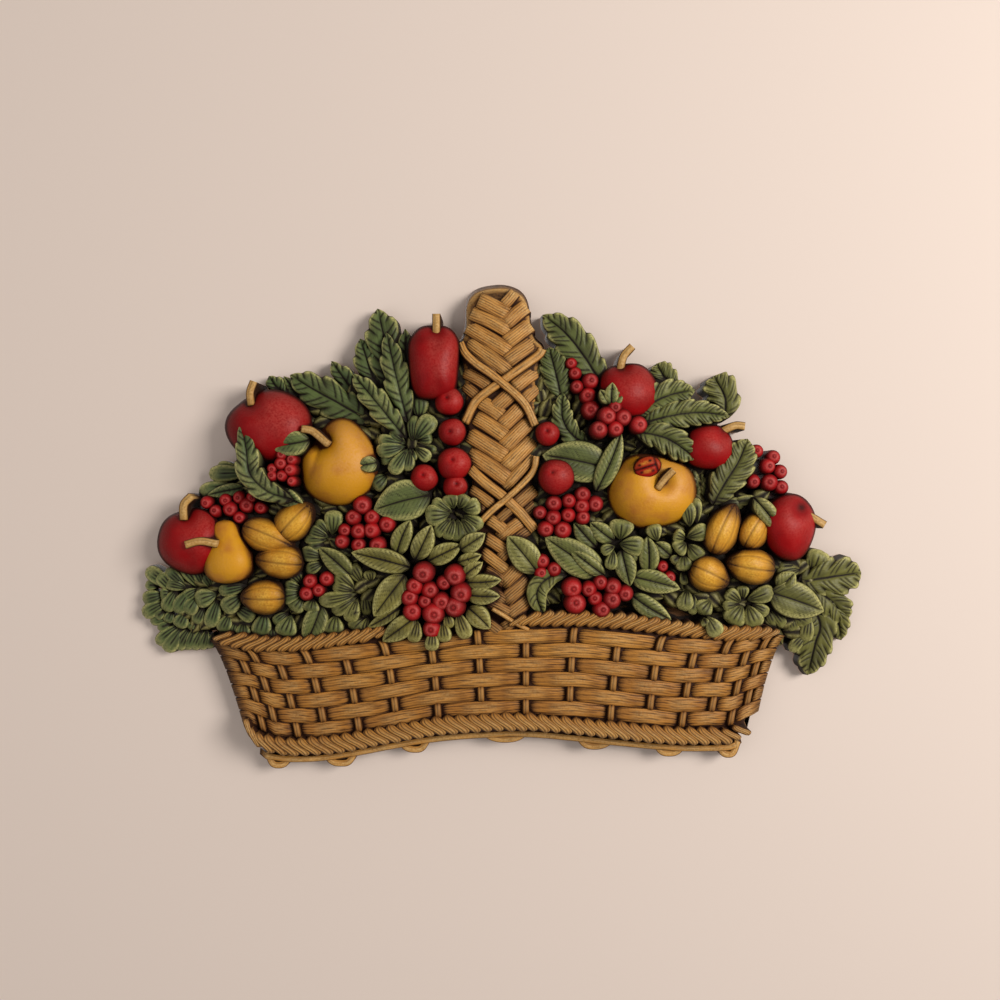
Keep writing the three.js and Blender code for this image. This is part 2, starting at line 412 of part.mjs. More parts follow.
function berrySolid([x, z, radius], lift) {
  const equator = moundHeight(x, z) + lift - 9;
  return domeSolid(x, z, [radius, radius], equator, equator + radius * 0.85, 5, [0, 0.5], 1, x + z);
}

function crabAppleSolid([x, z, radius]) {
  const equator = moundHeight(x, z) + 4;
  return domeSolid(x, z, [radius, radius], equator, equator + radius * 0.9, 9, [0, 0.35, 0.68], 1, x);
}

function appleSolid({ at, radii, crown, square, dimple }) {
  const equator = crown - Math.min(radii[0], radii[1]) * 0.95;
  const body = domeSolid(at[0], at[1], radii, equator, crown, 16, [0, 0.26, 0.52, 0.78], square);
  if (!dimple) return body;
  const hollow = new THREE.SphereGeometry(dimple[2], 9, 6);
  hollow.deleteAttribute('normal');
  hollow.deleteAttribute('uv');
  hollow.translate(dimple[0], -crown - 1, dimple[1]);
  return body.subtract(solidOf(mergeVertices(hollow, 1e-3)));
}

// Rounded bar along a line of plane points; widths and heights are given at each of its stations.
function barSolid(line, stations, widthAt, heightAt, swell) {
  const curve = smoothLine(line);
  const rows = Array.from({ length: stations }, (_, i) => {
    const share = i / (stations - 1);
    const p = curve.getPointAt(share);
    const t = curve.getTangentAt(share);
    const half = widthAt(share) / 2;
    const height = heightAt(p.x, p.z, share);
    return [-1, 0, 1].map((s) => [p.x - t.z * half * s, p.z + t.x * half * s, height + (s === 0 ? swell : 0)]);
  });
  return sheetSolid(rows);
}

function pearSolid() {
  const length = Math.hypot(pear.tip[0] - pear.foot[0], pear.tip[1] - pear.foot[1]);
  const along = [(pear.tip[0] - pear.foot[0]) / length, (pear.tip[1] - pear.foot[1]) / length];
  const stations = [0, 0.06, 0.18, 0.36, 0.55, 0.72, 0.88, 1];
  const widths = [0.3, 0.68, 0.95, 1, 0.78, 0.56, 0.47, 0.16];
  const rows = stations.map((share, i) => {
    const half = (widths[i] * pear.width) / 2;
    const x = pear.foot[0] + along[0] * length * share;
    const z = pear.foot[1] + along[1] * length * share;
    return [-1, -0.7, 0, 0.7, 1].map((s) => {
      const round = Math.sqrt(1 - s * s);
      return [x - along[1] * half * s, z + along[0] * half * s, pear.crown - pear.width * 0.45 + half * 0.9 * round];
    });
  });
  return sheetSolid(rows);
}

function nutSolid({ foot, tip, width }) {
  const length = Math.hypot(tip[0] - foot[0], tip[1] - foot[1]);
  const along = [(tip[0] - foot[0]) / length, (tip[1] - foot[1]) / length];
  const stations = [0, 0.12, 0.4, 0.72, 1];
  const widths = [0.25, 0.72, 1, 0.78, 0.06];
  const rows = stations.map((share, i) => {
    const half = (widths[i] * width) / 2;
    const x = foot[0] + along[0] * length * share;
    const z = foot[1] + along[1] * length * share;
    const seat = moundHeight(x, z) + 6;
    return [-1, -0.6, 0, 0.6, 1].map((s) => [x - along[1] * half * s, z + along[0] * half * s, seat + half * Math.sqrt(1 - s * s)]);
  });
  return sheetSolid(rows);
}

function stemSolid({ line, width, heights }) {
  return barSolid(line, 4, () => width, (x, z, share) => THREE.MathUtils.lerp(...heights, share), width * 0.35);
}

// Body of the basket behind its weave, and one strip or stake of the weave.
function basketBody() {
  const xs = [-229, -200, -150, -100, -50, 0, 50, 100, 150, 200, 220];
  const rows = xs.map((x) => {
    const foot = basket.gatherMiddle + (x - basket.gatherMiddle) * (1 - basket.gather);
    const height = basketHeight(x) - 3;
    const footLine = lineAt(basket.foot, foot);
    return [[x, lineAt(basket.rim, x) + 4, height], [foot, footLine - 4, height], [foot, footLine - 17, footRod.height - 4]];
  });
  return sheetSolid(rows);
}

function weavePoint(x, level, height) {
  const gathered = basket.gatherMiddle + (x - basket.gatherMiddle) * (1 - basket.gather * level);
  const z = THREE.MathUtils.lerp(lineAt(basket.rim, gathered), lineAt(basket.foot, gathered), level);
  return [gathered, z, height];
}

function stripSolid(left, right, row) {
  const rows = [0, 0.15, 0.5, 0.85, 1].map((share) => {
    const x = THREE.MathUtils.lerp(left, right, share);
    const height = basketHeight(x) + basket.weaveSwell * (Math.sin(share * Math.PI) - 0.6);
    return [[0, -2.2], [0.5, 0], [1, -2.2]].map(([part, rise]) => weavePoint(x, (row + part) / basket.rows, height + rise));
  });
  return sheetSolid(rows);
}

function stakeSolid(x, row) {
  const half = basket.stakeWidth / 2;
  const rows = [0, 1].map((part) => [-1, 1].map((s) => weavePoint(x + half * s, (row + part) / basket.rows, basketHeight(x) + 1.5)));
  return sheetSolid(rows);
}

function weaveSolids() {
  const stakeAt = (i) => basket.stakeMiddle + basket.stakeSpread * Math.sin(basket.stakeArc * (2 * i / (basket.stakes - 1) - 1));
  const solids = [];
  for (let row = 0; row < basket.rows; row += 1) {
    const showing = [];
    for (let i = (row + 1) % 2; i < basket.stakes; i += 2) showing.push(stakeAt(i));
    showing.forEach((x) => solids.push(stakeSolid(x, row)));
    const ends = [basket.ends[0], ...showing, basket.ends[1]];
    for (let i = 0; i < ends.length - 1; i += 1) {
      const gap = basket.stakeWidth / 2;
      if (ends[i + 1] - ends[i] < 4 * gap) continue;
      solids.push(stripSolid(ends[i] + gap, ends[i + 1] - gap, row));
    }
  }
  return solids;
}

function ropeSolids({ line, width, lean, pitch, lift }) {
  const curve = smoothLine(line);
  const count = Math.round(curve.getLength() / pitch);
  return Array.from({ length: count }, (_, i) => {
    const share = (i + 0.5) / count;
    const p = curve.getPointAt(share);
    const t = curve.getTangentAt(share);
    const height = basketHeight(p.x) + lift;
    const end = (s) => [p.x - t.z * (width / 2) * s + t.x * lean * s, p.z + t.x * (width / 2) * s + t.z * lean * s];
    const half = pitch * 0.5;
    const rows = [[-1, 0.25, -4], [-0.55, 1, 0], [0.55, 1, 0], [1, 0.25, -4]].map(([s, wide, rise]) => {
      const [x, z] = end(s);
      return [-1, 0, 1].map((e) => [x + t.x * half * wide * e, z + t.z * half * wide * e, height + rise - (e === 0 ? 0 : 2)]);
    });
    return sheetSolid(rows);
  });
}

function footRodSolids() {
  const line = footRope.line.slice(2, -1).map(([x, z]) => [x, z - footRod.drop]);
  const rod = barSolid(line, 16, () => footRod.width, () => footRod.height, 2);
  const loops = footLoops.map(([left, right, depth]) => {
    const middle = (left + right) / 2;
    const top = (x) => lineAt(footRope.line.slice(2, -1), x) - footRod.drop + 3;
    return barSolid([[left, top(left)], [middle, -depth + 3], [right, top(right)]], 6, () => 6, () => footRod.height - 1, 1.5);
  });
  return [rod, ...loops];
}

function handleHeight(z) {
  return THREE.MathUtils.lerp(handle.height, handle.lowerHeight, THREE.MathUtils.clamp(-z / 110, 0, 1));
}

function handleBody() {
  const rim = handle.outline.map(([x, z]) => [x, z, handle.rimHeight]);
  const shoulder = handle.outline.map(([x, z]) => [x * 0.86, z > 30 ? z - 4 : z, handleHeight(z) - 3]);
  return ringedSolid([rim, shoulder], [0, -90, handle.lowerHeight - 3]);
}

// The plait: slanting strips that run down to the middle from both sides, turn about.
function plaitSolids() {
  const solids = [];
  for (let i = 0; i < handle.plaitRounds; i += 1) {
    [-1, 1].forEach((sideways) => {
      const innerX = handle.plaitMiddle - sideways * 3.5;
      const outerX = sideways * handle.plaitHalfWidth;
      const low = handle.plaitTop - handle.plaitPitch * (i + (sideways > 0 ? 1.5 : 1));
      const rows = [0, 0.5, 1].map((share) => {
        const x = THREE.MathUtils.lerp(innerX, outerX, share);
        const bottom = low + handle.plaitSlope * Math.abs(x - innerX);
        const top = Math.min(bottom + handle.plaitPitch - 1.5, handle.plaitTop - 2);
        const fall = 4 * (x / handle.plaitHalfWidth) ** 2;
        const height = handleHeight(bottom) + 1 - fall + (share === 0.5 ? 1 : 0);
        return [[x, bottom, height], [x, (bottom + top) / 2, height + 0.8], [x, top, height]];
      });
      if (rows[0][0][1] > -232 && rows[2][0][1] < handle.plaitTop - 6) solids.push(sheetSolid(rows));
    });
  }
  return solids;
}

function bindingSolids() {
  return bindings.map(({ line, width }, i) => barSolid(line, 9, () => width,
    (x, z) => handleHeight(z) + 3 - 5 * (x / 32) ** 2 + (i % 2) * 1.5, 1.5));
}

// Slab and the mound on it that everything in the basket grows out of.
function moundSolid() {
  const [middleX, middleZ] = slab.middle;
  const rings = slab.rings.map((share) => slab.outline.map(([x, z]) => {
    const place = [middleX + (x - middleX) * share, middleZ + (z - middleZ) * share];
    return [...place, share === 1 ? slab.height : moundHeight(...place) - slab.depth];
  }));
  return ringedSolid(rings, [middleX, middleZ, moundHeight(middleX, middleZ) - slab.depth]);
}

// Union by halves, so that no single join has a long history.
function joined(solids) {
  if (solids.length === 1) return solids[0];
  const half = Math.ceil(solids.length / 2);
  return joined(solids.slice(0, half)).add(joined(solids.slice(half)));
}

// Everything behind the wall plane is cut away, which leaves one flat back.
function flatBacked(solid) {
  const behind = new THREE.BoxGeometry(800, 40, 800);
  behind.deleteAttribute('normal');
  behind.deleteAttribute('uv');
  behind.translate(0, 20, -100);
  return solid.subtract(solidOf(mergeVertices(behind, 1e-3)));
}

// The largest body alone: pockets sealed between leaves are filled.
function outerBody(solid) {
  return solid.decompose().reduce((most, body) => (body.volume() > most.volume() ? body : most));
}

function plaqueSolid() {
  const solids = [
    moundSolid(),
    basketBody(),
    ...weaveSolids(),
    ...ropeSolids(topRope),
    ...ropeSolids(footRope),
    ...footRodSolids(),
    handleBody(),
    ...plaitSolids(),
    ...bindingSolids(),
    ...leaves.flatMap(({ shape, lift, rows }) => rows.map((row) => leafSolid(row, shape, lift))),
    ...bunches.flatMap(({ lift, berries }) => berries.map((berry) => berrySolid(berry, lift))),
    ...apples.map(appleSolid),
    ...goldApples.map(appleSolid),
    ...crabApples.map(crabAppleSolid),
    pearSolid(),
    ...nuts.map(nutSolid),
    ...stems.map(stemSolid),
    domeSolid(ladybird.at[0], ladybird.at[1], ladybird.radii, 44, ladybird.crown, 8, [0, 0.5]),
  ];
  return outerBody(thinned(outerBody(flatBacked(joined(solids)).simplify(smoothing)), mostTriangles));
}

// How far a point lies from the planes of some faces, squared and weighted by their areas: ten sums of plane terms.
function planeSums(a, b, c) {
  const normal = new THREE.Vector3().subVectors(b, a).cross(new THREE.Vector3().subVectors(c, a));
  const area = normal.length();
  if (area < 1e-9) return new Array(10).fill(0);
  normal.divideScalar(area);
  const { x, y, z } = normal;
  const d = -normal.dot(a);
  return [x * x, x * y, x * z, x * d, y * y, y * z, y * d, z * z, z * d, d * d].map((term) => term * area);
}

function planeError(q, { x, y, z }) {
  return q[0] * x * x + q[4] * y * y + q[7] * z * z + q[9]
    + 2 * (q[1] * x * y + q[2] * x * z + q[3] * x + q[5] * y * z + q[6] * y + q[8] * z);
}

// Best place for the vertex that replaces an edge. A vertex on the back stays on the back.
function mergedVertex(a, b, sums) {
  const onBack = [a, b].map((p) => p.y > -1e-4);
  let places = [a, b, new THREE.Vector3().lerpVectors(a, b, 0.5)];
  if (onBack[0] !== onBack[1]) places = [onBack[0] ? a : b];
  const errors = places.map((place) => planeError(sums, place));
  const least = Math.min(...errors);
  return { place: places[errors.indexOf(least)], error: least + 1e-7 * a.distanceToSquared(b) };
}

function faceNormal(corners) {
  const [a, b, c] = corners;
  return new THREE.Vector3().subVectors(b, a).cross(new THREE.Vector3().subVectors(c, a));
}

// Collapses the edges whose loss shows least until few enough triangles are left. The surface stays one closed body.
function thinned(solid, most) {
  const { vertProperties, triVerts } = solid.getMesh();
  const places = [];
  for (let i = 0; i < vertProperties.length; i += 3) places.push(new THREE.Vector3().fromArray(vertProperties, i));
  let faces = [];
  for (let i = 0; i < triVerts.length; i += 3) faces.push([...triVerts.subarray(i, i + 3)]);
  const sums = places.map(() => new Array(10).fill(0));
  faces.forEach((face) => {
    const terms = planeSums(...face.map((k) => places[k]));
    face.forEach((k) => terms.forEach((term, i) => { sums[k][i] += term; }));
  });
  while (faces.length > most) {
    const around = places.map(() => []);
    faces.forEach((face) => face.forEach((k) => around[k].push(face)));
    const edges = [];
    faces.forEach((face) => face.forEach((a, i) => {
      const b = face[(i + 1) % 3];
      if (a > b) return;
      const total = sums[a].map((term, k) => term + sums[b][k]);
      edges.push({ a, b, total, ...mergedVertex(places[a], places[b], total) });
    }));
    edges.sort((p, q) => p.error - q.error);
    const touched = new Set();
    const goal = Math.max(most, faces.length * thinningStep);
    let left = faces.length;
    for (const { a, b, total, place } of edges) {
      if (left <= goal) break;
      if (touched.has(a) || touched.has(b)) continue;
      const rings = [a, b].map((k) => new Set(around[k].flat()));
      const shared = [...rings[0]].filter((k) => rings[1].has(k) && k !== a && k !== b);
      const moved = [...around[a], ...around[b]].filter((face) => !(face.includes(a) && face.includes(b)));
      const folds = moved.some((face) => {
        const before = faceNormal(face.map((k) => places[k]));
        const after = faceNormal(face.map((k) => (k === a || k === b ? place : places[k])));
        return after.length() < 1e-3 || before.dot(after) < foldLimit * before.length() * after.length();
      });
      if (shared.length !== 2 || folds) continue;
      rings.forEach((ring) => ring.forEach((k) => touched.add(k)));
      places[a] = place.clone();
      sums[a] = total;
      around[b].forEach((face) => { face[face.indexOf(b)] = a; });
      left -= 2;
    }
    const before = faces.length;
    faces = faces.filter((face) => new Set(face).size === 3);
    if (faces.length === before) break;
  }
  return closedFrom(places, faces);
}

function closedFrom(places, faces) {
  const geometry = new THREE.BufferGeometry().setFromPoints(places);
  geometry.setIndex(faces.flat());
  return solidOf(mergeVertices(geometry, 1e-4));
}

function meshOf(solid, name, material) {
  const { vertProperties, triVerts } = solid.getMesh();
  const geometry = new THREE.BufferGeometry();
  geometry.setAttribute('position', new THREE.BufferAttribute(vertProperties, 3));
  geometry.setIndex(new THREE.BufferAttribute(triVerts, 1));
  geometry.computeVertexNormals();
  const mesh = new THREE.Mesh(geometry, material);
  mesh.name = name;
  return mesh;
}

const paintedResin = new THREE.MeshStandardMaterial({ color: 0x7d6a3c, roughness: 0.6, metalness: 0 });
const plaque = new THREE.Group();
plaque.name = 'fruit_basket_wall_plaque';
plaque.add(meshOf(plaqueSolid(), 'basket_plaque', paintedResin));

export default plaque;
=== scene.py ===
# Wall plaque: a wicker basket of fruit in low relief, moulded in one piece and painted by hand.
# Places are [x, z] on the wall in millimetres and heights are measured out from the wall, so the front faces -Y.
import math
import bpy
import numpy as np
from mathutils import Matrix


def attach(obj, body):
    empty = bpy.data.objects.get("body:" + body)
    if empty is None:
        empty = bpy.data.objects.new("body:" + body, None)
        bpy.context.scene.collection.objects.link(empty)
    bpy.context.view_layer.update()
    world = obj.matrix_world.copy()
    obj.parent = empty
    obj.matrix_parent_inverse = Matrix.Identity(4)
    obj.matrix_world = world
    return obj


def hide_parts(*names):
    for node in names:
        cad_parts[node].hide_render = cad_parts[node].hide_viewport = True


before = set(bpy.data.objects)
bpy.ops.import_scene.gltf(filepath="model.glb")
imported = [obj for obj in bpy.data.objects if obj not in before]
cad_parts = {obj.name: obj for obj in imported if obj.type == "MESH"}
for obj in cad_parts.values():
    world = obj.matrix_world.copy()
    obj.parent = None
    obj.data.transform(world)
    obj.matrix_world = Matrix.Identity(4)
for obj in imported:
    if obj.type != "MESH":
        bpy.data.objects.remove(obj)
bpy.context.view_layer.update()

random = np.random.default_rng(11)
mm = 0.001

relief = {
    "wallGap": 0.4,          # the moulded parts end this far in front of the wall, or a little more
    "wallGapSpread": 0.5,
    "draft": 0.05,           # how much wider a part is behind than in front, so that it leaves its mould
    "leanZ": -128,           # the relief draws in towards this height as it rises
    "leanHeight": 20,
    "leanReach": 660,
    "edgeHeight": 13,        # of the ground under the leaves at its edge
    "moundRise": 17,
    "moundZ": -150,
    "moundHalfWidth": 300,
    "moundHalfHeight": 180,
    "step": 1.0,             # spacing of the carved surface along a leaf
    "caneStep": 1.3,         # and along a cane
    "flatBack": 1.1,         # faces nearer to the wall than this are shaded flat
    "runBack": 60,           # repeated parts are drawn this deep and then cut off at the wall
}


def moundHeight(x, z):
    across = x / relief["moundHalfWidth"]
    up = (z - relief["moundZ"]) / relief["moundHalfHeight"]
    return relief["edgeHeight"] + relief["moundRise"] * np.maximum(0, 1 - across ** 2 - up ** 2)


def smoothStep(low, high, value):
    t = np.clip((value - low) / (high - low), 0, 1)
    return t * t * (3 - 2 * t)


def ridge(away, width):
    # 1 on a line and soon 0 beside it
    return np.exp(-(away / width) ** 2)


def lineAt(points, x):
    xs, zs = zip(*points)
    return np.interp(x, xs, zs)


def smoothLine(points, count):
    # an even walk along a smooth line through the points
    p = np.array(points, float)
    p = np.vstack([2 * p[0] - p[1], p, 2 * p[-1] - p[-2]])
    t = np.linspace(0, 1, 24)[:, None]
    dense = np.vstack([0.5 * (2 * b + (c - a) * t + (2 * a - 5 * b + 4 * c - d) * t ** 2
                              + (3 * b - a - 3 * c + d) * t ** 3)
                       for a, b, c, d in zip(p[:-3], p[1:-2], p[2:-1], p[3:])])
    walked = np.r_[0, np.cumsum(np.linalg.norm(np.diff(dense[:, :2], axis=0), axis=1))]
    even = np.linspace(0, walked[-1], count)
    return np.column_stack([np.interp(even, walked, dense[:, k]) for k in range(p.shape[1])])


def smoothThrough(shares, values, share):
    # a smooth width or height read at a share of the length
    line = smoothLine(list(zip(shares, values)), 120)
    return np.interp(share, line[:, 0], line[:, 1])


def spaced(count):
    # even steps of a half turn: close together at both edges
    return np.sin(np.linspace(-math.pi / 2, math.pi / 2, count))


channels = ("washAndShade", "light", "tone", "hue")


def newCarving(loose=False):
    # a loose part is drawn at the origin, to be repeated, and its sides run far back
    return {"points": [], "faces": [], "paint": [], "grain": [], "count": 0, "loose": loose}


def leaned(x, z, height):
    share = (height - relief["leanHeight"]) / relief["leanReach"]
    return x - x * share, z - (z - relief["leanZ"]) * share


def addSurface(carving, x, z, height, faces, rim, paint, grain, gap, behind=None):
    # a carved top with sides that run straight back almost to the wall, closed behind
    if not carving["loose"]:
        x, z = leaned(x, z, height)
    a, b, c = faces.T
    turned = np.sum((x[b] - x[a]) * (z[c] - z[a]) - (x[c] - x[a]) * (z[b] - z[a])) < 0
    middleX, middleZ = x[rim].mean(), z[rim].mean()
    backX = x[rim] + (x[rim] - middleX) * relief["draft"]
    backZ = z[rim] + (z[rim] - middleZ) * relief["draft"]
    count, top = len(rim), len(x)
    low = top + np.arange(count)
    nextRim, nextLow = np.roll(rim, -1), np.roll(low, -1)
    closing = np.column_stack([low, np.full(count, top + count), nextLow]) if behind is None else top + behind
    sides = np.vstack([np.column_stack([rim, low, nextRim]), np.column_stack([nextRim, low, nextLow])])
    allFaces = np.vstack([faces, sides, closing])
    if turned:
        allFaces = allFaces[:, [0, 2, 1]]
    back = relief["wallGap"] + relief["wallGapSpread"] * random.random() if gap is None else gap
    if carving["loose"]:
        back = -relief["runBack"]
    depths = -np.r_[height, np.full(count + 1, back)]
    points = np.column_stack([np.r_[x, backX, middleX], depths, np.r_[z, backZ, middleZ]])
    backPaint = paint[rim] * [0, 0, 1, 1] + [1, 0, 0, 0]
    used = len(points) - (behind is not None)
    carving["points"].append(points[:used] * mm)
    carving["faces"].append(allFaces + carving["count"])
    carving["paint"].append(np.vstack([paint, backPaint, backPaint[:1]])[:used])
    carving["grain"].append(np.vstack([grain, grain[rim], grain[rim[:1]]])[:used])
    carving["count"] += used


def gridFaces(index):
    a, b, c, d = index[:-1, :-1].ravel(), index[1:, :-1].ravel(), index[1:, 1:].ravel(), index[:-1, 1:].ravel()
    return np.vstack([np.column_stack([a, b, c]), np.column_stack([a, c, d])])


def addSheet(carving, x, z, height, washAndShade, light=0, tone=0, hue=0, along=0, across=0, gap=None):
    # the same from grids of numbers: rows run along the element and columns across it
    x, z, height, *rest = np.broadcast_arrays(x, z, height, washAndShade, light, tone, hue, along, across)
    index = np.arange(x.size).reshape(x.shape)
    rim = np.r_[index[:, 0], index[-1, 1:], index[-2::-1, -1], index[0, -2:0:-1]]
    flat = [grid.ravel().astype(float) for grid in rest]
    flat[0] = np.clip(flat[0], 0, 1)
    # behind, the two long sides are joined row by row, so that a bent strip stays a strip
    rows, columns = x.shape
    left, right = np.arange(rows), 2 * rows + columns - 3 - np.arange(rows)
    first, last = np.arange(rows, rows + columns - 2), np.arange(right[0], len(rim) - 1)
    behind = np.vstack([np.column_stack(three) for three in (
        (left[:-1], right[1:], left[1:]), (left[:-1], right[:-1], right[1:]),
        (np.full(len(first), rows - 1), first + 1, first), (np.zeros(len(last), int), last + 1, last))])
    addSurface(carving, x.ravel(), z.ravel(), height.ravel(), gridFaces(index), rim, np.column_stack(flat[:4]),
               np.column_stack(flat[4:]), gap, behind)


def addDome(carving, x, z, height, washAndShade, light, tone=0, hue=0, gap=None):
    # the same from rings that close round: the last row of each grid is one point
    x, z, height, *rest = np.broadcast_arrays(x, z, height, washAndShade, light, tone, hue)
    rings, sides = x.shape[0] - 1, x.shape[1]
    index = np.arange(rings * sides).reshape(rings, sides)
    joined = np.column_stack([index, index[:, 0]])
    cap = np.column_stack([joined[-1, :-1], joined[-1, 1:], np.full(sides, rings * sides)])
    faces = np.vstack([gridFaces(joined)[:, [0, 2, 1]], cap])
    px, pz, ph, *flat = [np.r_[grid[:-1].ravel(), grid[-1, 0]].astype(float) for grid in (x, z, height, *rest)]
    flat[0] = np.clip(flat[0], 0, 1)
    addSurface(carving, px, pz, ph, faces, index[0], np.column_stack(flat), np.column_stack([px, pz]), gap)


def newObject(name, data):
    made = bpy.data.objects.new(name, data)
    bpy.context.scene.collection.objects.link(made)
    return made


def pieceFrom(name, points, faces, paint, grain):
    mesh = bpy.data.meshes.new(name)
    mesh.vertices.add(len(points))
    mesh.vertices.foreach_set("co", points.astype(np.float32).ravel())
    mesh.loops.add(faces.size)
    mesh.loops.foreach_set("vertex_index", faces.astype(np.int32).ravel())
    mesh.polygons.add(len(faces))
    mesh.polygons.foreach_set("loop_start", np.arange(0, faces.size, 3, dtype=np.int32))
    mesh.update(calc_edges=True)
    for channel, values in zip(channels, paint.T):
        mesh.attributes.new(channel, "FLOAT", "POINT").data.foreach_set("value", values.astype(np.float32))
    spread = np.column_stack([grain, np.zeros(len(grain))]).astype(np.float32)
    mesh.attributes.new("grain", "FLOAT_VECTOR", "POINT").data.foreach_set("vector", spread.ravel())
    shadeFaces(mesh)
    return newObject(name, mesh)


def shadeFaces(mesh):
    # smooth all over, but flat on the back
    flat = [all(mesh.vertices[i].co.y > -relief["flatBack"] * mm for i in face.vertices) for face in mesh.polygons]
    mesh.polygons.foreach_set("use_smooth", np.logical_not(flat))
    mesh.update()


def carvedPiece(name, carving):
    return pieceFrom(name, *(np.vstack(carving[part]) for part in ("points", "faces", "paint", "grain")))


def loosePiece(name, carving):
    # each copy of a loose part gets its own tone, so the part itself has none
    piece = carvedPiece(name, carving)
    piece.data.attributes.remove(piece.data.attributes["tone"])
    return piece


basket = {
    "rim": [[-234, -239], [-205, -247], [-172, -249], [-100, -242], [-15, -232], [60, -230.5], [140, -238.5],
            [185, -240], [224, -236]],
    "foot": [[-203, -306], [-180, -317], [-150, -318.5], [-100, -312], [-50, -302], [20, -299], [60, -301],
             [140, -309.5], [185, -308], [212, -295]],
    "ends": [-236, 232],
    "groundEnds": [-222, 213],
    "rows": 6,
    "stakes": 16,
    "stakeMiddle": 1,
    "stakeSpread": 222,
    "stakeArc": 1.34,        # radians from the middle to the last stake: they close up as the basket turns away
    "gather": 0.11,          # how much narrower the basket is at its foot
    "gatherMiddle": 20,
    "endHeight": 14,
    "bulge": 21,
    "halfWidth": 240,
    "weaveSwell": 3.2,
    "stripRound": 1.8,
    "stripHalf": 5.6,        # half its width, for the splits
    "splitDepth": 0.45,
    "endDrop": 1.1,          # how far a strip goes in where it passes behind a stake
    "stakeWidth": 5.6,
    "stakeRise": 2.4,
    "stakeBend": 2.6,        # and how far a stake goes in behind the rows above and below
    "groundDrop": 2.8,
    "stripTaper": 0.2,       # a strip is narrower where it goes in behind a stake
    "splitPitch": 1.9,       # split canes side by side: the real ones are 0.6 mm apart, too fine to show
}


def basketHeight(x):
    return basket["endHeight"] + basket["bulge"] * np.sqrt(1 - np.minimum(1, np.abs(x) / basket["halfWidth"]) ** 2)


def weavePlace(x, level):
    narrowed = 1 - basket["gather"] * np.clip(level, 0, 1.2) ** 0.6
    gathered = basket["gatherMiddle"] + (x - basket["gatherMiddle"]) * narrowed
    top, bottom = lineAt(basket["rim"], gathered), lineAt(basket["foot"], gathered)
    return gathered, top + (bottom - top) * level


def addStrip(carving, left, right, row):
    length = right - left
    share = np.linspace(0, 1, max(8, int(length / relief["caneStep"])))[:, None]
    part = spaced(29)[None, :]
    fromEnd = np.minimum(share, 1 - share) * length
    full = 1 - basket["stripTaper"] * (1 - smoothStep(-3, 9, fromEnd)) ** 1.5
    x, z = weavePlace(left + length * share, (row + 0.5 + 0.515 * part * full) / basket["rows"])
    swell = np.sin(share * math.pi) ** 0.7
    across = part * basket["stripHalf"]
    drift = 0.5 * np.sin(share * 5 + left) + 0.2 * np.sin(share * 17 + row)
    split = ridge(np.sin((across + drift) * math.pi / basket["splitPitch"]), 0.6)
    split = split * (0.3 + 0.7 * smoothStep(-0.5, 0.5, np.sin(share * 9 + part * 8 + row * 1.7 + left)))
    height = basketHeight(left + length * share) + basket["weaveSwell"] * (swell - 0.6)
    height = height - basket["stripRound"] * np.abs(part) ** 3 - basket["splitDepth"] * split
    # where a strip goes in behind a stake its wash is darker: dark wash together with painted shade
    ends = 1 - smoothStep(0, 9, fromEnd)
    height = height - basket["endDrop"] * ends ** 2
    washAndShade = 0.85 * split + 0.42 * ends + 0.8 * smoothStep(0.9, 1, np.abs(part)) + 0.15 * (1 - swell) + paintedEndShade(x)
    light = smoothStep(0.7, 1, swell) * (1 - np.abs(part) ** 2) * 0.55
    addSheet(carving, x, z, height, washAndShade, light, random.random(), row / basket["rows"], share * length, across)


def paintedEndShade(x):
    # painted shade: the far left end of the basket turns away from the light and is drawn darker
    return 0.4 * smoothStep(-202, -224, x)


def addStake(carving, x, row):
    along = np.linspace(-1, 1, 13)[:, None]
    part = spaced(9)[None, :]
    px, pz = weavePlace(x + part * basket["stakeWidth"] / 2, (row + 0.5 + 0.58 * along) / basket["rows"])
    line = ridge(part - 0.1, 0.16)
    height = basketHeight(x) + basket["stakeRise"] - 1.4 * np.abs(part) ** 3
    height = height - basket["stakeBend"] * np.abs(along) ** 4 - 0.3 * line
    # a stake's ends, where it goes in behind the rows, get dark wash together with painted shade
    washAndShade = 0.2 + 0.6 * line + 0.6 * smoothStep(0.7, 1, np.abs(part)) + 0.6 * np.abs(along) ** 4 + paintedEndShade(px)
    light = 0.5 * (1 - np.abs(along)) * (1 - np.abs(part))
    addSheet(carving, px, pz, height, washAndShade, light, random.random(), row / basket["rows"], along * 6, part * 3)


def stakePlace(i):
    angle = basket["stakeArc"] * (2 * i / (basket["stakes"] - 1) - 1)
    return basket["stakeMiddle"] + basket["stakeSpread"] * math.sin(angle)


def buildWeave():
    carving = newCarving()
    # the dark ground behind the strips, which reaches up behind the fruit and down behind the foot rope
    xs = np.linspace(*basket["groundEnds"], 120)[:, None]
    foot = basket["gatherMiddle"] + (xs - basket["gatherMiddle"]) * (1 - basket["gather"])
    height = basketHeight(xs) - basket["groundDrop"]
    low = np.full_like(xs, footRod["height"] - 4)
    rimLine, footLine = lineAt(basket["rim"], xs), lineAt(basket["foot"], foot)
    below = footLine - 16 + 9 * smoothStep(150, 192, np.abs(foot))
    addSheet(carving, np.hstack([xs, xs, foot, foot]), np.hstack([rimLine + 15, rimLine + 4, footLine - 4, below]),
             np.hstack([low, height, height, low]), 1, gap=0.25)
    for row in range(basket["rows"]):
        showing = [stakePlace(i) for i in range((row + 1) % 2, basket["stakes"], 2)]
        for x in showing:
            addStake(carving, x, row)
        ends = [basket["ends"][0]] + showing + [basket["ends"][1]]
        gap = basket["stakeWidth"] / 2 - 0.6
        for left, right in zip(ends[:-1], ends[1:]):
            if right - left >= 4 * gap:
                addStrip(carving, left + gap, right - gap, row)
    return carvedPiece("basket_weave", carving)


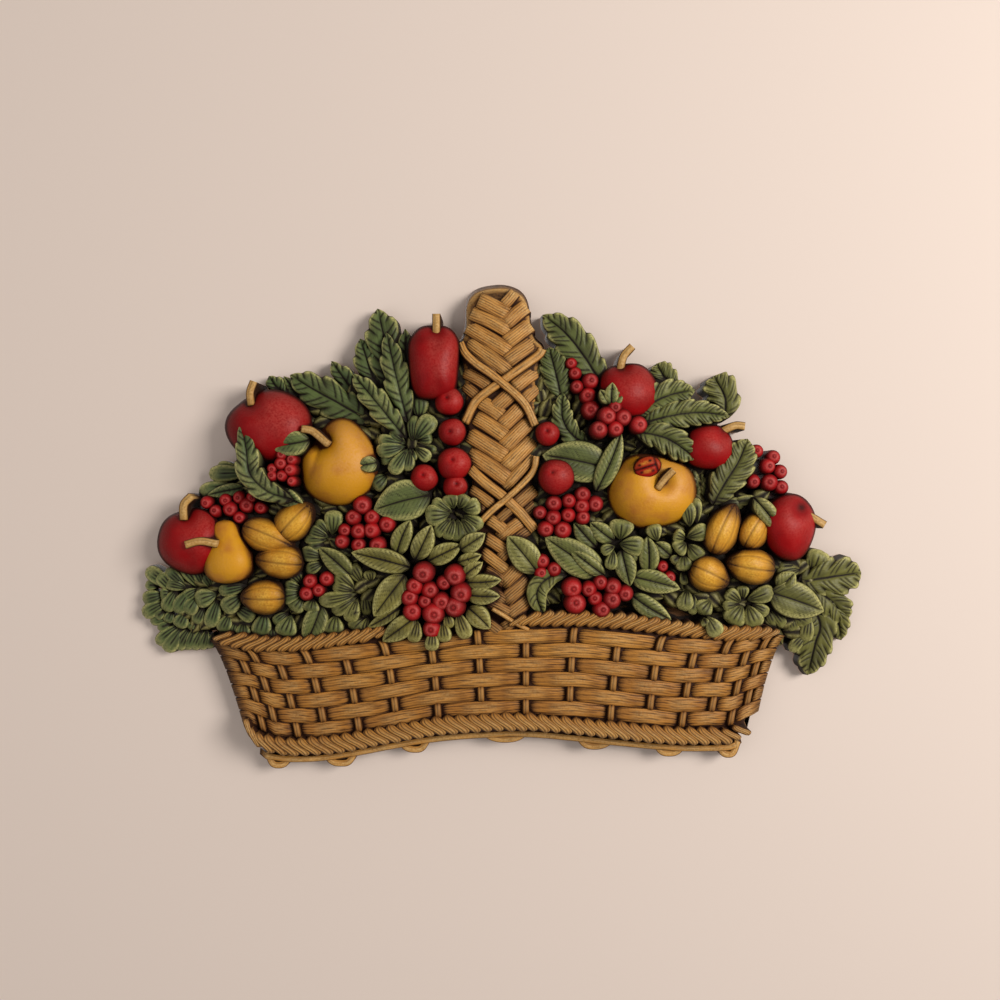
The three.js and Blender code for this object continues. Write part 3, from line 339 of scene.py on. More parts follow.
# Ropes: width and pitch of the twist, how far a strand leans, how fat it is (turn) and how many canes it shows
topRope = {
    "lines": [[[-223, -237.5], [-212, -240.5], [-190, -244], [-160, -243.5], [-130, -240], [-94, -234.5]],
              [[14, -225], [30, -223.5], [85, -224.5], [140, -231], [180, -235], [217, -236]]],
    "width": 13, "lean": 7.4, "pitch": 9.2, "lift": 4.2, "turn": 0.66, "splits": 3.4,
}
footRope = {
    "lines": [[[-202, -311], [-197, -319], [-187, -324], [-165, -326.5], [-130, -324], [-60, -311.5], [-10, -307],
               [30, -307], [90, -313], [140, -317.5], [178, -317.5], [188, -315.5], [194, -313]]],
    "width": 15, "lean": -6.6, "pitch": 8.9, "lift": 4, "turn": 0.68, "splits": 3.6,
}
footRod = {"drop": 8.8, "width": 5, "height": 17, "loopWidth": 5.5, "loopDrop": 1.5}
# loops under the rod: [left x, right x, lowest point below the origin]
footLoops = [[-186, -168, 343], [-140, -115, 341.5], [-80, -57, 330.5], [-14, 22, 322.5], [62, 90, 328],
             [124, 147, 333.5], [175, 190, 334.5]]


def strandPiece(rope):
    # one turn of twisted cane across the line of the rope, with the splits of its canes
    carving = newCarving(loose=True)
    s = np.linspace(-1, 1, 17)[:, None]
    e = spaced(25)[None, :]
    half = rope["pitch"] * rope["turn"] * np.sqrt(np.maximum(0.03, 1 - np.abs(s) ** 2.4))
    x = rope["lean"] * (s + 0.25 * np.sin(s * math.pi)) + half * e
    z = rope["width"] / 2 * s - 0.5 * math.copysign(1, rope["lean"]) * e * (1 - np.abs(s))
    split = ridge(np.sin((e + 0.1) * math.pi * rope["splits"] / 2), 0.5) * smoothStep(0, 0.3, 1 - np.abs(s))
    height = 3.2 * (np.sqrt(1 - 0.97 * e ** 2) - 1) - 3.0 * np.abs(s) ** 2.4 - 0.6 * split
    washAndShade = 0.1 + 0.8 * split + 0.85 * smoothStep(0.66, 0.95, np.abs(e)) + 0.6 * smoothStep(0.65, 1, np.abs(s))
    light = 0.8 * (1 - np.abs(e)) * (1 - np.abs(s))
    addSheet(carving, x, z, height, washAndShade, light, 0, 0, s * rope["width"], e * half)
    return loosePiece("rope_strand", carving)


def addNode(tree, kind, settings=None, links=None):
    # settings are properties of the node or values of its sockets, links go to its sockets by name or number
    node = tree.nodes.new(kind)
    for key, value in (settings or {}).items():
        if isinstance(key, str) and hasattr(node, key):
            setattr(node, key, value)
        else:
            node.inputs[key].default_value = value
    for key, source in (links or {}).items():
        tree.links.new(source, node.inputs[key])
    return node


def newTree(name, inputs):
    # every tree also gets its seed, the wall plane and the finish
    inputs = inputs + [("Seed", "NodeSocketInt", 3), ("Wall", "NodeSocketFloat", -0.0005),
                       ("Finish", "NodeSocketMaterial", None)]
    tree = bpy.data.node_groups.new(name, "GeometryNodeTree")
    tree.interface.new_socket(name="Geometry", in_out="INPUT", socket_type="NodeSocketGeometry")
    tree.interface.new_socket(name="Geometry", in_out="OUTPUT", socket_type="NodeSocketGeometry")
    for socketName, kind, default in inputs:
        socket = tree.interface.new_socket(name=socketName, in_out="INPUT", socket_type=kind)
        if default is not None:
            socket.default_value = default
    return tree, addNode(tree, "NodeGroupInput").outputs, addNode(tree, "NodeGroupOutput")


def finishTree(tree, given, groupOut, links):
    # each copy gets its tone and becomes real, what is behind the wall plane is flattened onto it, and the finish
    # goes on
    copies = addNode(tree, "GeometryNodeInstanceOnPoints", links=links)
    shade = addNode(tree, "FunctionNodeRandomValue", {"data_type": "FLOAT"}, {"Seed": given["Seed"]})
    toned = addNode(tree, "GeometryNodeStoreNamedAttribute",
                    {"data_type": "FLOAT", "domain": "INSTANCE", "Name": "tone"},
                    {"Geometry": copies.outputs[0], "Value": shade.outputs["Value"]})
    real = addNode(tree, "GeometryNodeRealizeInstances", links={"Geometry": toned.outputs[0]})
    place = addNode(tree, "GeometryNodeInputPosition")
    parts = addNode(tree, "ShaderNodeSeparateXYZ", links={0: place.outputs[0]}).outputs
    flat = addNode(tree, "ShaderNodeMath", {"operation": "MINIMUM"}, {0: parts["Y"], 1: given["Wall"]})
    moved = addNode(tree, "ShaderNodeCombineXYZ", links={"X": parts["X"], "Y": flat.outputs[0], "Z": parts["Z"]})
    cut = addNode(tree, "GeometryNodeSetPosition", links={"Geometry": real.outputs[0], "Position": moved.outputs[0]})
    dressed = addNode(tree, "GeometryNodeSetMaterial", links={"Geometry": cut.outputs[0], "Material": given["Finish"]})
    tree.links.new(dressed.outputs[0], groupOut.inputs[0])
    return tree


def plainPiece(name, carrier, tree, source, values, finish):
    # runs the tree on its carrier and keeps the result as a plain mesh
    values = values | {"Wall": -relief["wallGap"] * mm, "Finish": finish}
    modifier = carrier.modifiers.new(name, "NODES")
    modifier.node_group = tree
    for socket in tree.interface.items_tree:
        if socket.in_out == "INPUT" and socket.name in values:
            modifier[socket.identifier] = values[socket.name]
    evaluated = carrier.evaluated_get(bpy.context.evaluated_depsgraph_get())
    mesh = bpy.data.meshes.new_from_object(evaluated)
    carrier.modifiers.remove(modifier)
    bpy.data.objects.remove(carrier)
    bpy.data.objects.remove(source)
    mesh.name = name
    shadeFaces(mesh)
    return newObject(name, mesh)


def ropeTree():
    # strands laid along a curve, each turned a little less than the curve is
    tree, given, groupOut = newTree("twisted rope", [("Strand", "NodeSocketObject", None),
                                                     ("Pitch", "NodeSocketFloat", 0.01)])
    points = addNode(tree, "GeometryNodeCurveToPoints", {"mode": "LENGTH"},
                     {"Curve": given["Geometry"], "Length": given["Pitch"]}).outputs
    strand = addNode(tree, "GeometryNodeObjectInfo", links={"Object": given["Strand"]})
    way = addNode(tree, "ShaderNodeSeparateXYZ", links={0: points["Tangent"]}).outputs
    angle = addNode(tree, "ShaderNodeMath", {"operation": "ARCTAN2"}, {0: way["Z"], 1: way["X"]})
    back = addNode(tree, "ShaderNodeMath", {"operation": "MULTIPLY", 1: -0.6}, {0: angle.outputs[0]})
    turn = addNode(tree, "ShaderNodeCombineXYZ", links={"Y": back.outputs[0]})
    vary = addNode(tree, "FunctionNodeRandomValue", {"data_type": "FLOAT", "Min": 0.94, "Max": 1.06},
                   {"Seed": given["Seed"]})
    radius = addNode(tree, "GeometryNodeInputRadius")
    size = addNode(tree, "ShaderNodeMath", {"operation": "MULTIPLY"}, {0: vary.outputs["Value"], 1: radius.outputs[0]})
    return finishTree(tree, given, groupOut, {"Points": points["Points"], "Instance": strand.outputs["Geometry"],
                                              "Rotation": turn.outputs[0], "Scale": size.outputs[0]})


def buildRope(name, rope, tree, finish):
    curve = bpy.data.curves.new(name, "CURVE")
    curve.dimensions = "3D"
    for part in rope["lines"]:
        line = smoothLine(part, 160)
        height = basketHeight(line[:, 0]) + rope["lift"]
        x, z = leaned(line[:, 0], line[:, 1], height)
        spline = curve.splines.new("POLY")
        spline.points.add(len(line) - 1)
        spline.points.foreach_set("co", np.column_stack([x * mm, -height * mm, z * mm, np.ones(len(x))]).ravel())
        share = np.linspace(0, 1, len(x))
        # the strands get smaller towards both ends
        spline.points.foreach_set("radius", 0.66 + 0.34 * smoothStep(0, 0.06, np.minimum(share, 1 - share)))
    strand = strandPiece(rope)
    return plainPiece(name, newObject(name, curve), tree, strand,
                      {"Strand": strand, "Pitch": rope["pitch"] * mm, "Seed": 3}, finish)


def placedTree():
    # copies of one part, laid on points that carry their size and turn
    tree, given, groupOut = newTree("copies on their places", [("Copy", "NodeSocketObject", None)])
    source = addNode(tree, "GeometryNodeObjectInfo", links={"Object": given["Copy"]})
    size, turn = [addNode(tree, "GeometryNodeInputNamedAttribute", {"data_type": "FLOAT", "Name": key})
                  for key in ("size", "turn")]
    angle = addNode(tree, "ShaderNodeCombineXYZ", links={"Y": turn.outputs["Attribute"]})
    return finishTree(tree, given, groupOut, {"Points": given["Geometry"], "Instance": source.outputs["Geometry"],
                                              "Rotation": angle.outputs[0], "Scale": size.outputs["Attribute"]})


def placedPiece(name, source, places, sizes, turns, tree, finish):
    # lays copies of a loose part on places given as x, z and height
    x, z, height = np.array(places, float).T
    x, z = leaned(x, z, height)
    mesh = bpy.data.meshes.new(name)
    mesh.from_pydata(np.column_stack([x, -height, z]) * mm, [], [])
    for key, values in (("size", sizes), ("turn", turns)):
        mesh.attributes.new(key, "FLOAT", "POINT").data.foreach_set("value", values)
    return plainPiece(name, newObject(name, mesh), tree, source, {"Copy": source, "Seed": 5}, finish)


def addBar(carving, line, width, heightAt, canes=1, tone=0.5, hue=0, swell=None, dark=0.0):
    # a rounded bar along a line, scored into canes side by side
    length = np.sum(np.hypot(*np.diff(np.array(line, float)[:, :2], axis=0).T))
    centre = smoothLine(line, max(6, int(length / relief["caneStep"])))
    way = np.gradient(centre[:, :2], axis=0)
    way = way / np.linalg.norm(way, axis=1, keepdims=True)
    share = np.linspace(0, 1, len(centre))[:, None]
    part = (np.linspace(-1, 1, canes * 6 + 1) if canes > 1 else spaced(max(9, int(width * 1.6) | 1)))[None, :]
    half = width / 2
    x = centre[:, :1] - way[:, 1:] * half * part
    z = centre[:, 1:2] + way[:, :1] * half * part
    if canes > 1:
        score = ridge(np.sin((part + 1 + 0.06 * np.sin(share * 5 + tone * 9)) * math.pi * canes / 2), 0.42)
    else:
        score = 0.6 * ridge(part - 0.35, 0.16)
    score = score * (0.7 + 0.3 * np.sin(share * length * 0.3 + part * 5 + tone * 9))
    crown = width * 0.36 if swell is None else swell
    height = heightAt(centre[:, 0], centre[:, 1], share[:, 0])[:, None]
    height = height + crown * (np.sqrt(1 - 0.96 * part ** 2) - 0.5) - 0.5 * score
    washAndShade = 0.75 * score + 0.9 * smoothStep(0.74, 1, np.abs(part)) + dark
    light = (1 - np.abs(part)) * 0.8
    addSheet(carving, x, z, height, washAndShade, light, tone, hue, share * length, part * width / 2)


def buildFootRod():
    carving = newCarving()
    line = [[x, z - footRod["drop"]] for x, z in footRope["lines"][0][2:-1]]
    addBar(carving, line, footRod["width"], lambda x, z, share: footRod["height"] + 0.4 * np.sin(x / 9), tone=0.45)
    for left, right, depth in footLoops:
        topZ = [lineAt(footRope["lines"][0][2:-1], x) - footRod["drop"] + 3 for x in (left, right)]
        middle = (left + right) / 2
        loop = [[left, topZ[0]], [left + (middle - left) * 0.45, -depth + 4.5], [middle, -depth + 3],
                [right - (right - middle) * 0.45, -depth + 4.5], [right, topZ[1]]]
        addBar(carving, loop, footRod["loopWidth"],
               lambda x, z, share: np.full_like(x, footRod["height"] - footRod["loopDrop"]), tone=random.random())
    return carvedPiece("foot_rod_and_loops", carving)


handle = {
    "outline": [[-21, -236], [-21, -150], [-23, -110], [-25, -80], [-29, -62], [-29, -30], [-32, -6], [-29, 2],
                [-27, 12], [-27, 24], [-24, 33], [-16, 39], [0, 41.5], [12, 39], [19, 33.5], [22.5, 25], [25, 8],
                [28, 0], [34, -6], [33, -14], [29, -40], [29, -64], [26, -78], [29, -100], [26, -118], [26, -140],
                [28, -156], [21, -190], [20, -236]],
    "rimHeight": 17,
    "height": 25,
    "lowerHeight": 33,       # it stands out further down, where it meets the basket
    "middleZ": -90,
    "middleHeight": 29,
    "canes": 6,
    "spread": 1.1,           # the strips are this much wider than the spaces they are drawn in
    "tuck": 2.6,             # and run on this far under the next strip
    "plaitSwell": 2.4,
    "plaitDip": 3.0,         # how far a strip goes down where it passes under the next
    "lift": 1.2,
    "bow": 0.06,
}
# Strips of the plait, seen from the front: [start x, start z, end x, end z, width, share of dark wash]
plait = [
    [-17, 32, 5.5, 21, 12.5, 0], [12, 38, 3.5, 28.5, 9, 0.1], [-23, 22, 7, 7.5, 11.5, 0],
    [21, 27, 4.5, 13.5, 11.5, 0], [-26, 11, 8, -10, 12, 0], [24.5, 12.5, 5, -2, 12, 0], [-27, 0, 6.5, -25, 12, 0.1],
    [28, -1, 5, -17.5, 12, 0.15], [-29, -12, -4, -28, 9, 0.3], [-29, -25, -8, -37.5, 10, 0.15],
    [-29, -36, -16, -47, 9, 0.3], [30.5, -24, 11, -38, 11, 0], [30, -37, 19, -48, 10, 0.1],
    [14, -39, -5, -55, 12, 0.15], [-17, -48, 1, -60.5, 11.5, 0.05], [17, -54, 2, -68.5, 12, 0],
    [-20, -61.5, 4.5, -77, 12, 0], [24.5, -65, 2.5, -86, 12, 0], [-26, -75, 5, -94, 12.5, 0],
    [27, -79, 4, -101.5, 12.5, 0], [-25, -90, 7.5, -112.5, 13, 0], [28, -91, 5, -116.5, 9, 0.1],
    [-24, -119, -7, -131.5, 9, 0.2], [-22, -129, -14, -136, 7, 0.35], [28, -119, 11, -133, 11, 0.25],
    [29, -131, 19, -141, 9, 0.4], [10, -134, -1, -144, 7.5, 0.4], [-9, -143, 3, -152, 9.5, 0.1],
    [17, -145, 1, -157, 10, 0.1], [25, -150, 10, -161, 9, 0.4], [-12, -158, 4.5, -168.5, 9.5, 0.1],
    [11, -163, 1, -174, 9, 0.35], [-15, -169, 5, -184.5, 9.5, 0.1], [18, -180, 3, -194, 12, 0.25],
    [-12, -184, 2, -193, 9, 0.4], [23, -191, 5, -208, 12, 0.35], [-14, -197, 3, -209, 10, 0.45],
    [24, -206, 7, -221, 12, 0.3], [-10, -210, 8, -219, 9, 0.3], [20, -220, 4, -230, 9, 0.35],
    [-18, -222, 0, -234, 9, 0.4],
]
bindings = [
    {"width": 7.5, "canes": 2, "lift": 3.2,
     "line": [[34, -7], [31, -12], [20, -20], [3, -32], [-10, -41], [-20, -50], [-28, -66]]},
    {"width": 7, "canes": 3, "lift": 4.8,
     "line": [[-32, -2], [-28, -10], [-20, -18], [-6, -28], [12, -43], [21, -53], [28, -68]]},
    {"width": 9, "canes": 4, "lift": 2.6, "line": [[-24, -103], [-12, -114], [2, -125], [16, -138], [28, -152]]},
    {"width": 5.5, "canes": 2, "lift": 4.8,
     "line": [[29, -93], [27, -104], [19, -114], [5, -127], [-6, -136], [-17, -147]]},
    {"width": 3.8, "canes": 1, "lift": 4.4, "line": [[-6, -215], [4, -221], [13, -227], [23, -232]]},
]


def handleHeight(z):
    return handle["height"] + (handle["lowerHeight"] - handle["height"]) * np.clip(-z / 110, 0, 1)


def addPlaitStrip(carving, startX, startZ, endX, endZ, width, dark):
    length = math.hypot(endX - startX, endZ - startZ)
    endX, endZ = endX + (endX - startX) * handle["tuck"] / length, endZ + (endZ - startZ) * handle["tuck"] / length
    width = width * handle["spread"]
    side = math.copysign(1, startX - endX)
    middle = [(startX + endX) / 2 + side * handle["bow"] * 20, (startZ + endZ) / 2 + handle["bow"] * 20]
    lift = handle["lift"] + random.uniform(-0.2, 0.2)

    def heightAt(x, z, share):
        dip = handle["plaitDip"] * (1 - smoothStep(0, 0.2, 1 - share)) + 1.2 * (1 - smoothStep(0, 0.12, share))
        return handleHeight(z) + lift - 4.5 * (x / 24) ** 2 - dip

    canes = max(3, round(handle["canes"] * width / 12))
    addBar(carving, [[startX, startZ], middle, [endX, endZ]], width, heightAt, canes, random.random(), 0.3 + dark,
           swell=handle["plaitSwell"], dark=dark)


def buildHandle():
    carving = newCarving()
    rim = smoothLine(handle["outline"] + handle["outline"][:1], 240)[:-1].T
    shares = np.array([1, 0.97, 0.9, 0.86])[:, None]
    x = np.vstack([rim[0] * shares, np.zeros_like(rim[:1])])
    drawnIn = np.where(rim[1] > 30, rim[1] - 4 * (1 - shares) / 0.14, rim[1] + 0 * shares)
    z = np.vstack([drawnIn, np.full_like(rim[:1], handle["middleZ"])])
    inner = handleHeight(rim[1]) - 3.5
    rimHeight, middleHeight = [np.full_like(inner, handle[key]) for key in ("rimHeight", "middleHeight")]
    height = np.vstack([rimHeight, inner - 2.5, inner - 0.6, inner, middleHeight])
    washAndShade, light = np.array([[0.7, 0.25, 0.5, 0.85, 1], [0.2, 0.8, 0.2, 0, 0]])[:, :, None]
    addDome(carving, x, z, height, washAndShade, light)
    for strip in plait:
        addPlaitStrip(carving, *strip)
    for binding in bindings:
        addBar(carving, binding["line"], binding["width"],
               lambda x, z, share: handleHeight(z) + binding["lift"] - 5 * (x / 32) ** 2,
               binding["canes"], random.random(), 0.1, swell=handle["plaitSwell"])
    return carvedPiece("plaited_handle", carving)


slab = {
    "outline": [[0, 10], [28, -8], [60, -14], [100, -24], [128, -32], [150, -45], [180, -48], [188, -70], [204, -92],
                [211, -108], [228, -128], [248, -160], [266, -182], [268, -205], [264, -232], [246, -248], [215, -246],
                [120, -262], [0, -262], [-120, -262], [-226, -240], [-258, -238], [-272, -222], [-276, -198],
                [-266, -176], [-262, -148], [-236, -122], [-212, -104], [-210, -60], [-172, -42], [-134, -30],
                [-100, -18], [-60, -12], [-28, -8]],
    "middle": [0, -150],
    "share": 0.9,            # of the outline: the leaves reach past it
    "height": 9,
    "depth": 6,
}


# Leaves: shape, how far they stand out, and [base x, base z, tip x, tip z, width, optional extra lift] of each.
# A blade is pointed and folded in along its midrib, a lobe is round ended and swells along it.
leafSprays = [
    # leaves left of the upper left apple, and the leaf lying on it
    ("lobe", 4, [[-200, -106, -233, -107, 12], [-206, -104, -226, -100, 8, -3], [-202, -117, -241, -122, 14, -1]]),
    ("blade", 9, [[-204, -118, -234, -124, 9], [-184, -118, -157, -132, 13, 9]]),
    ("blade", 26, [[-152, -80, -184, -85, 17]]),
    # leaves behind the left gold apple
    ("blade", 2, [[-158, -50, -173, -29, 9]]),
    # leaves in the hollow between the sprays and the crab apples
    ("lobe", 8, [
        [-65, -64, -65, -43, 14], [-70, -64, -76, -52, 7, -3], [-70, -82, -69, -60, 9, 1],
        [-68, -80, -53, -61, 14, 3], [-66, -80, -54, -77, 9, 1], [-66, -86, -50, -88, 6, -2],
    ]),
    ("lobe", 14, [
        [-76, -82, -88, -73, 8], [-76, -83, -98, -79, 9], [-76, -85, -99, -89, 11, 1], [-76, -87, -96, -98, 8, -2],
        [-74, -87, -87, -107, 11, 1], [-72, -87, -75, -105, 9], [-70, -87, -70, -97, 7, -2],
        [-68, -86, -56, -96, 9, -1],
    ]),
    ("blade", 12, [[-98, -98, -114, -101, 11, 13], [-56, -124, -101, -136, 28, 3]]),
    ("lobe", 8, [[-90, -108, -102, -118, 13]]),
    # blades round the middle bunch
    ("blade", 15, [
        [-83, -172, -72, -144, 14], [-68, -176, -55, -148, 15, 3], [-58, -177, -31, -164, 14, 2],
        [-72, -182, -119, -170, 16, 2], [-76, -188, -101, -221, 20, 3], [-79, -213, -106, -230, 9, 1],
        [-68, -222, -94, -241, 15, 5],
    ]),
    ("lobe", 20, [
        [-66, -224, -70, -242, 10], [-54, -232, -55, -249, 10, 2], [-46, -225, -44, -242, 10, 1],
        [-43, -218, -40, -231, 8, -1], [-34, -217, -26, -239, 11],
    ]),
    ("blade", 19, [
        [-26, -214, -8, -231, 15], [-27, -204, 0, -205, 12, 1], [-28, -194, 1, -192, 11],
        [-30, -190, -14, -178, 10, 1], [-34, -178, -15, -172, 9], [-32, -168, -12, -155, 13, 1],
    ]),
    # lobed leaves and scale leaflets of the left half
    ("lobe", 10, [
        [-134, -156, -133, -136, 13, 1], [-137, -156, -148, -145, 9], [-137, -158, -154, -151, 9, 1],
        [-138, -160, -157, -159, 8], [-139, -163, -154, -166, 7, -1], [-141, -174, -160, -170, 11],
        [-141, -178, -156, -185, 9, -1],
    ]),
    ("blade", 11, [[-118, -190, -145, -166, 15], [-116, -172, -130, -166, 7, -4]]),
    ("lobe", 7, [[-110, -195, -120, -179, 10], [-103, -194, -105, -184, 9, 1]]),
    ("lobe", 10, [
        [-158, -196, -168, -184, 10, -1], [-158, -199, -173, -196, 9], [-158, -202, -176, -206, 12, 1],
        [-158, -205, -167, -216, 13], [-149, -207, -152, -218, 12, 1],
    ]),
    ("lobe", 10, [
        [-116, -199, -132, -186, 11], [-116, -201, -134, -196, 9, 1], [-115, -203, -145, -209, 11, 2],
        [-115, -206, -134, -218, 11, 1], [-114, -207, -121, -226, 11, 2], [-108, -203, -106, -221, 10, -4],
        [-108, -222, -119, -233, 12], [-105, -221, -108, -236, 10, 1], [-131, -220, -134, -237, 15, 1],
        [-112, -214, -119, -222, 7, 3],
    ]),
    ("blade", 12, [[-143, -212, -156, -244, 17]]),
    ("lobe", 8, [
        [-201, -196, -225, -201, 10, 2], [-206, -204, -222, -216, 13, 3], [-213, -213, -196, -223, 11],
        [-216, -219, -223, -234, 11, -1], [-211, -225, -214, -235, 8, -2], [-205, -226, -206, -237, 11],
        [-188, -217, -193, -238, 14], [-182, -228, -182, -240, 8], [-169, -218, -181, -227, 9],
        [-167, -220, -174, -238, 15, 2],
    ]),
    ("lobe", 4, [
        [-262, -198, -283, -183, 11], [-262, -201, -274, -187, 10, 2], [-262, -203, -272, -204, 10, 1],
        [-251, -198, -267, -183, 9, 3], [-250, -199, -268, -194, 9, 3], [-240, -199, -255, -179, 10, 2],
        [-237, -198, -244, -182, 9, 2], [-230, -200, -238, -186, 8, 1], [-258, -199, -268, -217, 11, 2],
        [-248, -199, -260, -218, 12, 3], [-240, -199, -254, -208, 9, 2], [-242, -205, -251, -219, 12, 4],
        [-226, -203, -244, -209, 13, 5], [-225, -206, -233, -230, 11, 4], [-236, -212, -244, -227, 9, 2],
        [-262, -216, -267, -226, 8], [-251, -217, -258, -230, 11, 1], [-243, -224, -248, -232, 9, -1],
        [-272, -197, -284, -196, 7, -2], [-268, -203, -286, -208, 11, -1], [-266, -209, -286, -220, 11],
        [-268, -216, -276, -222, 7, 1], [-262, -222, -280, -225, 8, -2], [-262, -226, -274, -231, 7, -2],
    ]),
    ("lobe", 2, [
        [-255, -227, -275, -243, 10], [-254, -229, -268, -249, 12, 1], [-247, -229, -258, -248, 10],
        [-244, -229, -251, -248, 8], [-238, -230, -246, -248, 9], [-234, -231, -239, -248, 8],
        [-229, -234, -233, -247, 6],
    ]),
    # leaves round the right crab apples
    ("blade", 14, [[88, -103, 34, -92, 28, -2], [77, -121, 97, -74, 15, 1]]),
    ("blade", 26, [[89, -52, 90, -34, 10, 1], [88, -51, 80, -40, 8], [90, -51, 99, -40, 8]]),
    ("blade", 4, [
        [158, -122, 150, -98, 9], [160, -124, 160, -104, 9], [164, -128, 168, -106, 8, 1],
        [156, -130, 158, -112, 8],
    ]),
    ("lobe", 9, [[172, -130, 196, -131, 9], [180, -132, 205, -127, 7, 1]]),
    ("blade", 22, [[203, -126, 226, -155, 13], [206, -128, 221, -147, 8, -2]]),
    # rosettes and blades under the right gold apple
    ("lobe", 12, [
        [152, -150, 149, -129, 11, 2], [157, -148, 157, -126, 7, 1], [149, -158, 167, -151, 12, 3],
        [149, -159, 139, -155, 10], [149, -162, 140, -169, 12, 1], [147, -171, 148, -185, 12, 1],
        [150, -163, 162, -176, 12, 1], [154, -162, 168, -172, 7, -1], [145, -172, 137, -178, 7, -1],
        [146, -184, 148, -196, 6, -1],
    ]),
    ("blade", 13, [[119, -187, 118, -157, 14], [137, -173, 124, -162, 11, -2]]),
    ("lobe", 13, [
        [126, -161, 122, -147, 11, 2], [96, -160, 98, -143, 17], [95, -163, 116, -166, 14],
        [98, -166, 110, -177, 8, -2], [92, -165, 81, -170, 8], [91, -168, 88, -184, 9, 1],
    ]),
    ("blade", 11, [
        [77, -166, 59, -146, 13], [91, -161, 72, -146, 13, 1], [97, -168, 104, -197, 15, 2],
        [83, -188, 36, -158, 23, 2], [84, -189, 56, -168, 11, 4], [104, -189, 144, -199, 16, 2],
        [105, -204, 137, -224, 14, 1], [30, -186, 6, -157, 20, 4],
    ]),
    ("lobe", 7, [
        [150, -199, 148, -217, 12, 2], [155, -203, 154, -220, 7, 1], [169, -208, 159, -219, 14, 2],
        [166, -221, 175, -237, 12, 14], [163, -222, 166, -229, 7, 12],
    ]),
    ("lobe", 10, [
        [193, -210, 181, -201, 10], [194, -208, 194, -196, 9, -1], [197, -208, 219, -200, 12, 1],
        [194, -212, 184, -228, 16, 1], [196, -213, 192, -230, 8, -1], [198, -212, 206, -230, 14, 2],
        [201, -211, 215, -219, 9, 1], [192, -211, 178, -213, 8],
    ]),
    ("lobe", 5, [[212, -212, 221, -230, 8], [217, -213, 229, -230, 8, 1]]),
    # leaves at the right end
    ("blade", 9, [[216, -202, 259, -217, 25, 4], [222, -199, 236, -186, 15, 3]]),
    ("lobe", 5, [
        [242, -183, 220, -190, 11, 1], [240, -181, 222, -181, 8], [250, -186, 257, -168, 17],
        [249, -186, 250, -172, 9, -1],
    ]),
    ("lobe", 6, [
        [230, -216, 250, -229, 11], [247, -219, 244, -242, 10, 1], [248, -232, 232, -249, 9, -1],
        [232, -218, 236, -234, 9, -1], [238, -218, 241, -230, 8],
    ]),
    # rosette left of the middle
    ("lobe", 14, [
        [-38, -138, -54, -128, 9], [-40, -139, -60, -140, 15, 1], [-39, -142, -52, -157, 9],
        [-37, -143, -43, -160, 9, 1], [-34, -143, -33, -162, 12], [-31, -143, -21, -158, 10, 1],
        [-29, -140, -14, -150, 11], [-30, -136, -16, -131, 12, 1], [-33, -135, -28, -123, 12],
        [-37, -135, -41, -123, 12, 1],
    ]),
]

# Toothed leaves: [how far it stands out, width, teeth on each side, line from its base to its tip]
toothedLeaves = [
    # frond over the upper left apple
    [27, 19, 4, [[-166, -128], [-186, -121], [-200, -107], [-203, -88], [-207, -65]]],
    # leaves behind the left gold apple
    [1, 16, 2, [[-162, -56], [-174, -44], [-185, -29]]],
    [6, 27, 3, [[-102, -66], [-130, -50], [-150, -39], [-168, -28]]],
    # tall sprays beside the top apple
    [3, 17, 2, [[-102, -58], [-120, -37], [-135, -17]]],
    [5, 22, 3, [[-90, -56], [-102, -28], [-112, 1]]],
    [7, 30, 3, [[-80, -52], [-88, -18], [-98, 25]]],
    [9, 17, 2, [[-70, -54], [-74, -20], [-76, 9]]],
    [14, 20, 3, [[-74, -66], [-84, -25], [-91, 6]]],
    [16, 19, 3, [[-76, -78], [-97, -52], [-118, -27]]],
    # leaves right of the handle
    [9, 27, 4, [[84, -40], [68, -14], [52, 6], [34, 20]]],
    [7, 21, 4, [[50, -50], [45, -28], [39, -6]]],
    [10, 17, 4, [[74, -86], [58, -76], [50, -62], [50, -42]]],
    # curled leaf beside the lower bunch
    [12, 15, 0, [[54, -187], [41, -189], [31, -198], [30, -208], [35, -220]]],
    # leaves between the upper right apples
    [5, 20, 4, [[142, -48], [134, -34], [125, -19]]],
    [14, 24, 5, [[100, -66], [117, -53], [136, -44], [156, -40]]],
    [16, 20, 6, [[110, -68], [135, -61], [160, -58], [184, -61]]],
    [7, 25, 3, [[180, -64], [180, -46], [171, -29]]],
    [18, 22, 4, [[108, -73], [134, -79], [157, -95]]],
    # diagonal leaf at the right
    [14, 26, 5, [[170, -132], [181, -113], [191, -97], [198, -79]]],
    # leaves at the right end
    [6, 28, 3, [[238, -194], [262, -190], [289, -186]]],
    [5, 24, 3, [[244, -194], [264, -208], [278, -224]]],
    [4, 26, 4, [[244, -206], [256, -226], [252, -244], [246, -268]]],
    [3, 18, 3, [[246, -206], [268, -220], [273, -240]]],
]

leafCut = {
    "shapes": {"blade": (0.6, 0.8), "lobe": (0.9, 0.45)},        # how slowly it widens and closes
    "broad": 1.18,
    "veinPitch": 3.9,        # the carved veins of the real leaves, far wider apart than a plant's
    "veinDepth": 0.45,
    "midribDepth": 1.0,
    "strokeDepth": 0.6,
    "pillow": 0.24,          # how far a leaf swells, as a share of its half width
    "bend": 0.035,
    "sink": 6,               # a lift of 0 is this far below the mound
}


def greenHue(x, z):
    # 0 is the bluish dark green of the outer leaves, 1 the yellow olive of those round the middle bunch
    near = np.exp(-((x + 40) / 90) ** 2 - ((z + 205) / 60) ** 2)
    right = smoothStep(-40, 260, x)
    return float(np.clip(0.15 + 0.8 * near + 0.45 * right - 0.15 * smoothStep(-20, 10, z), 0, 1))


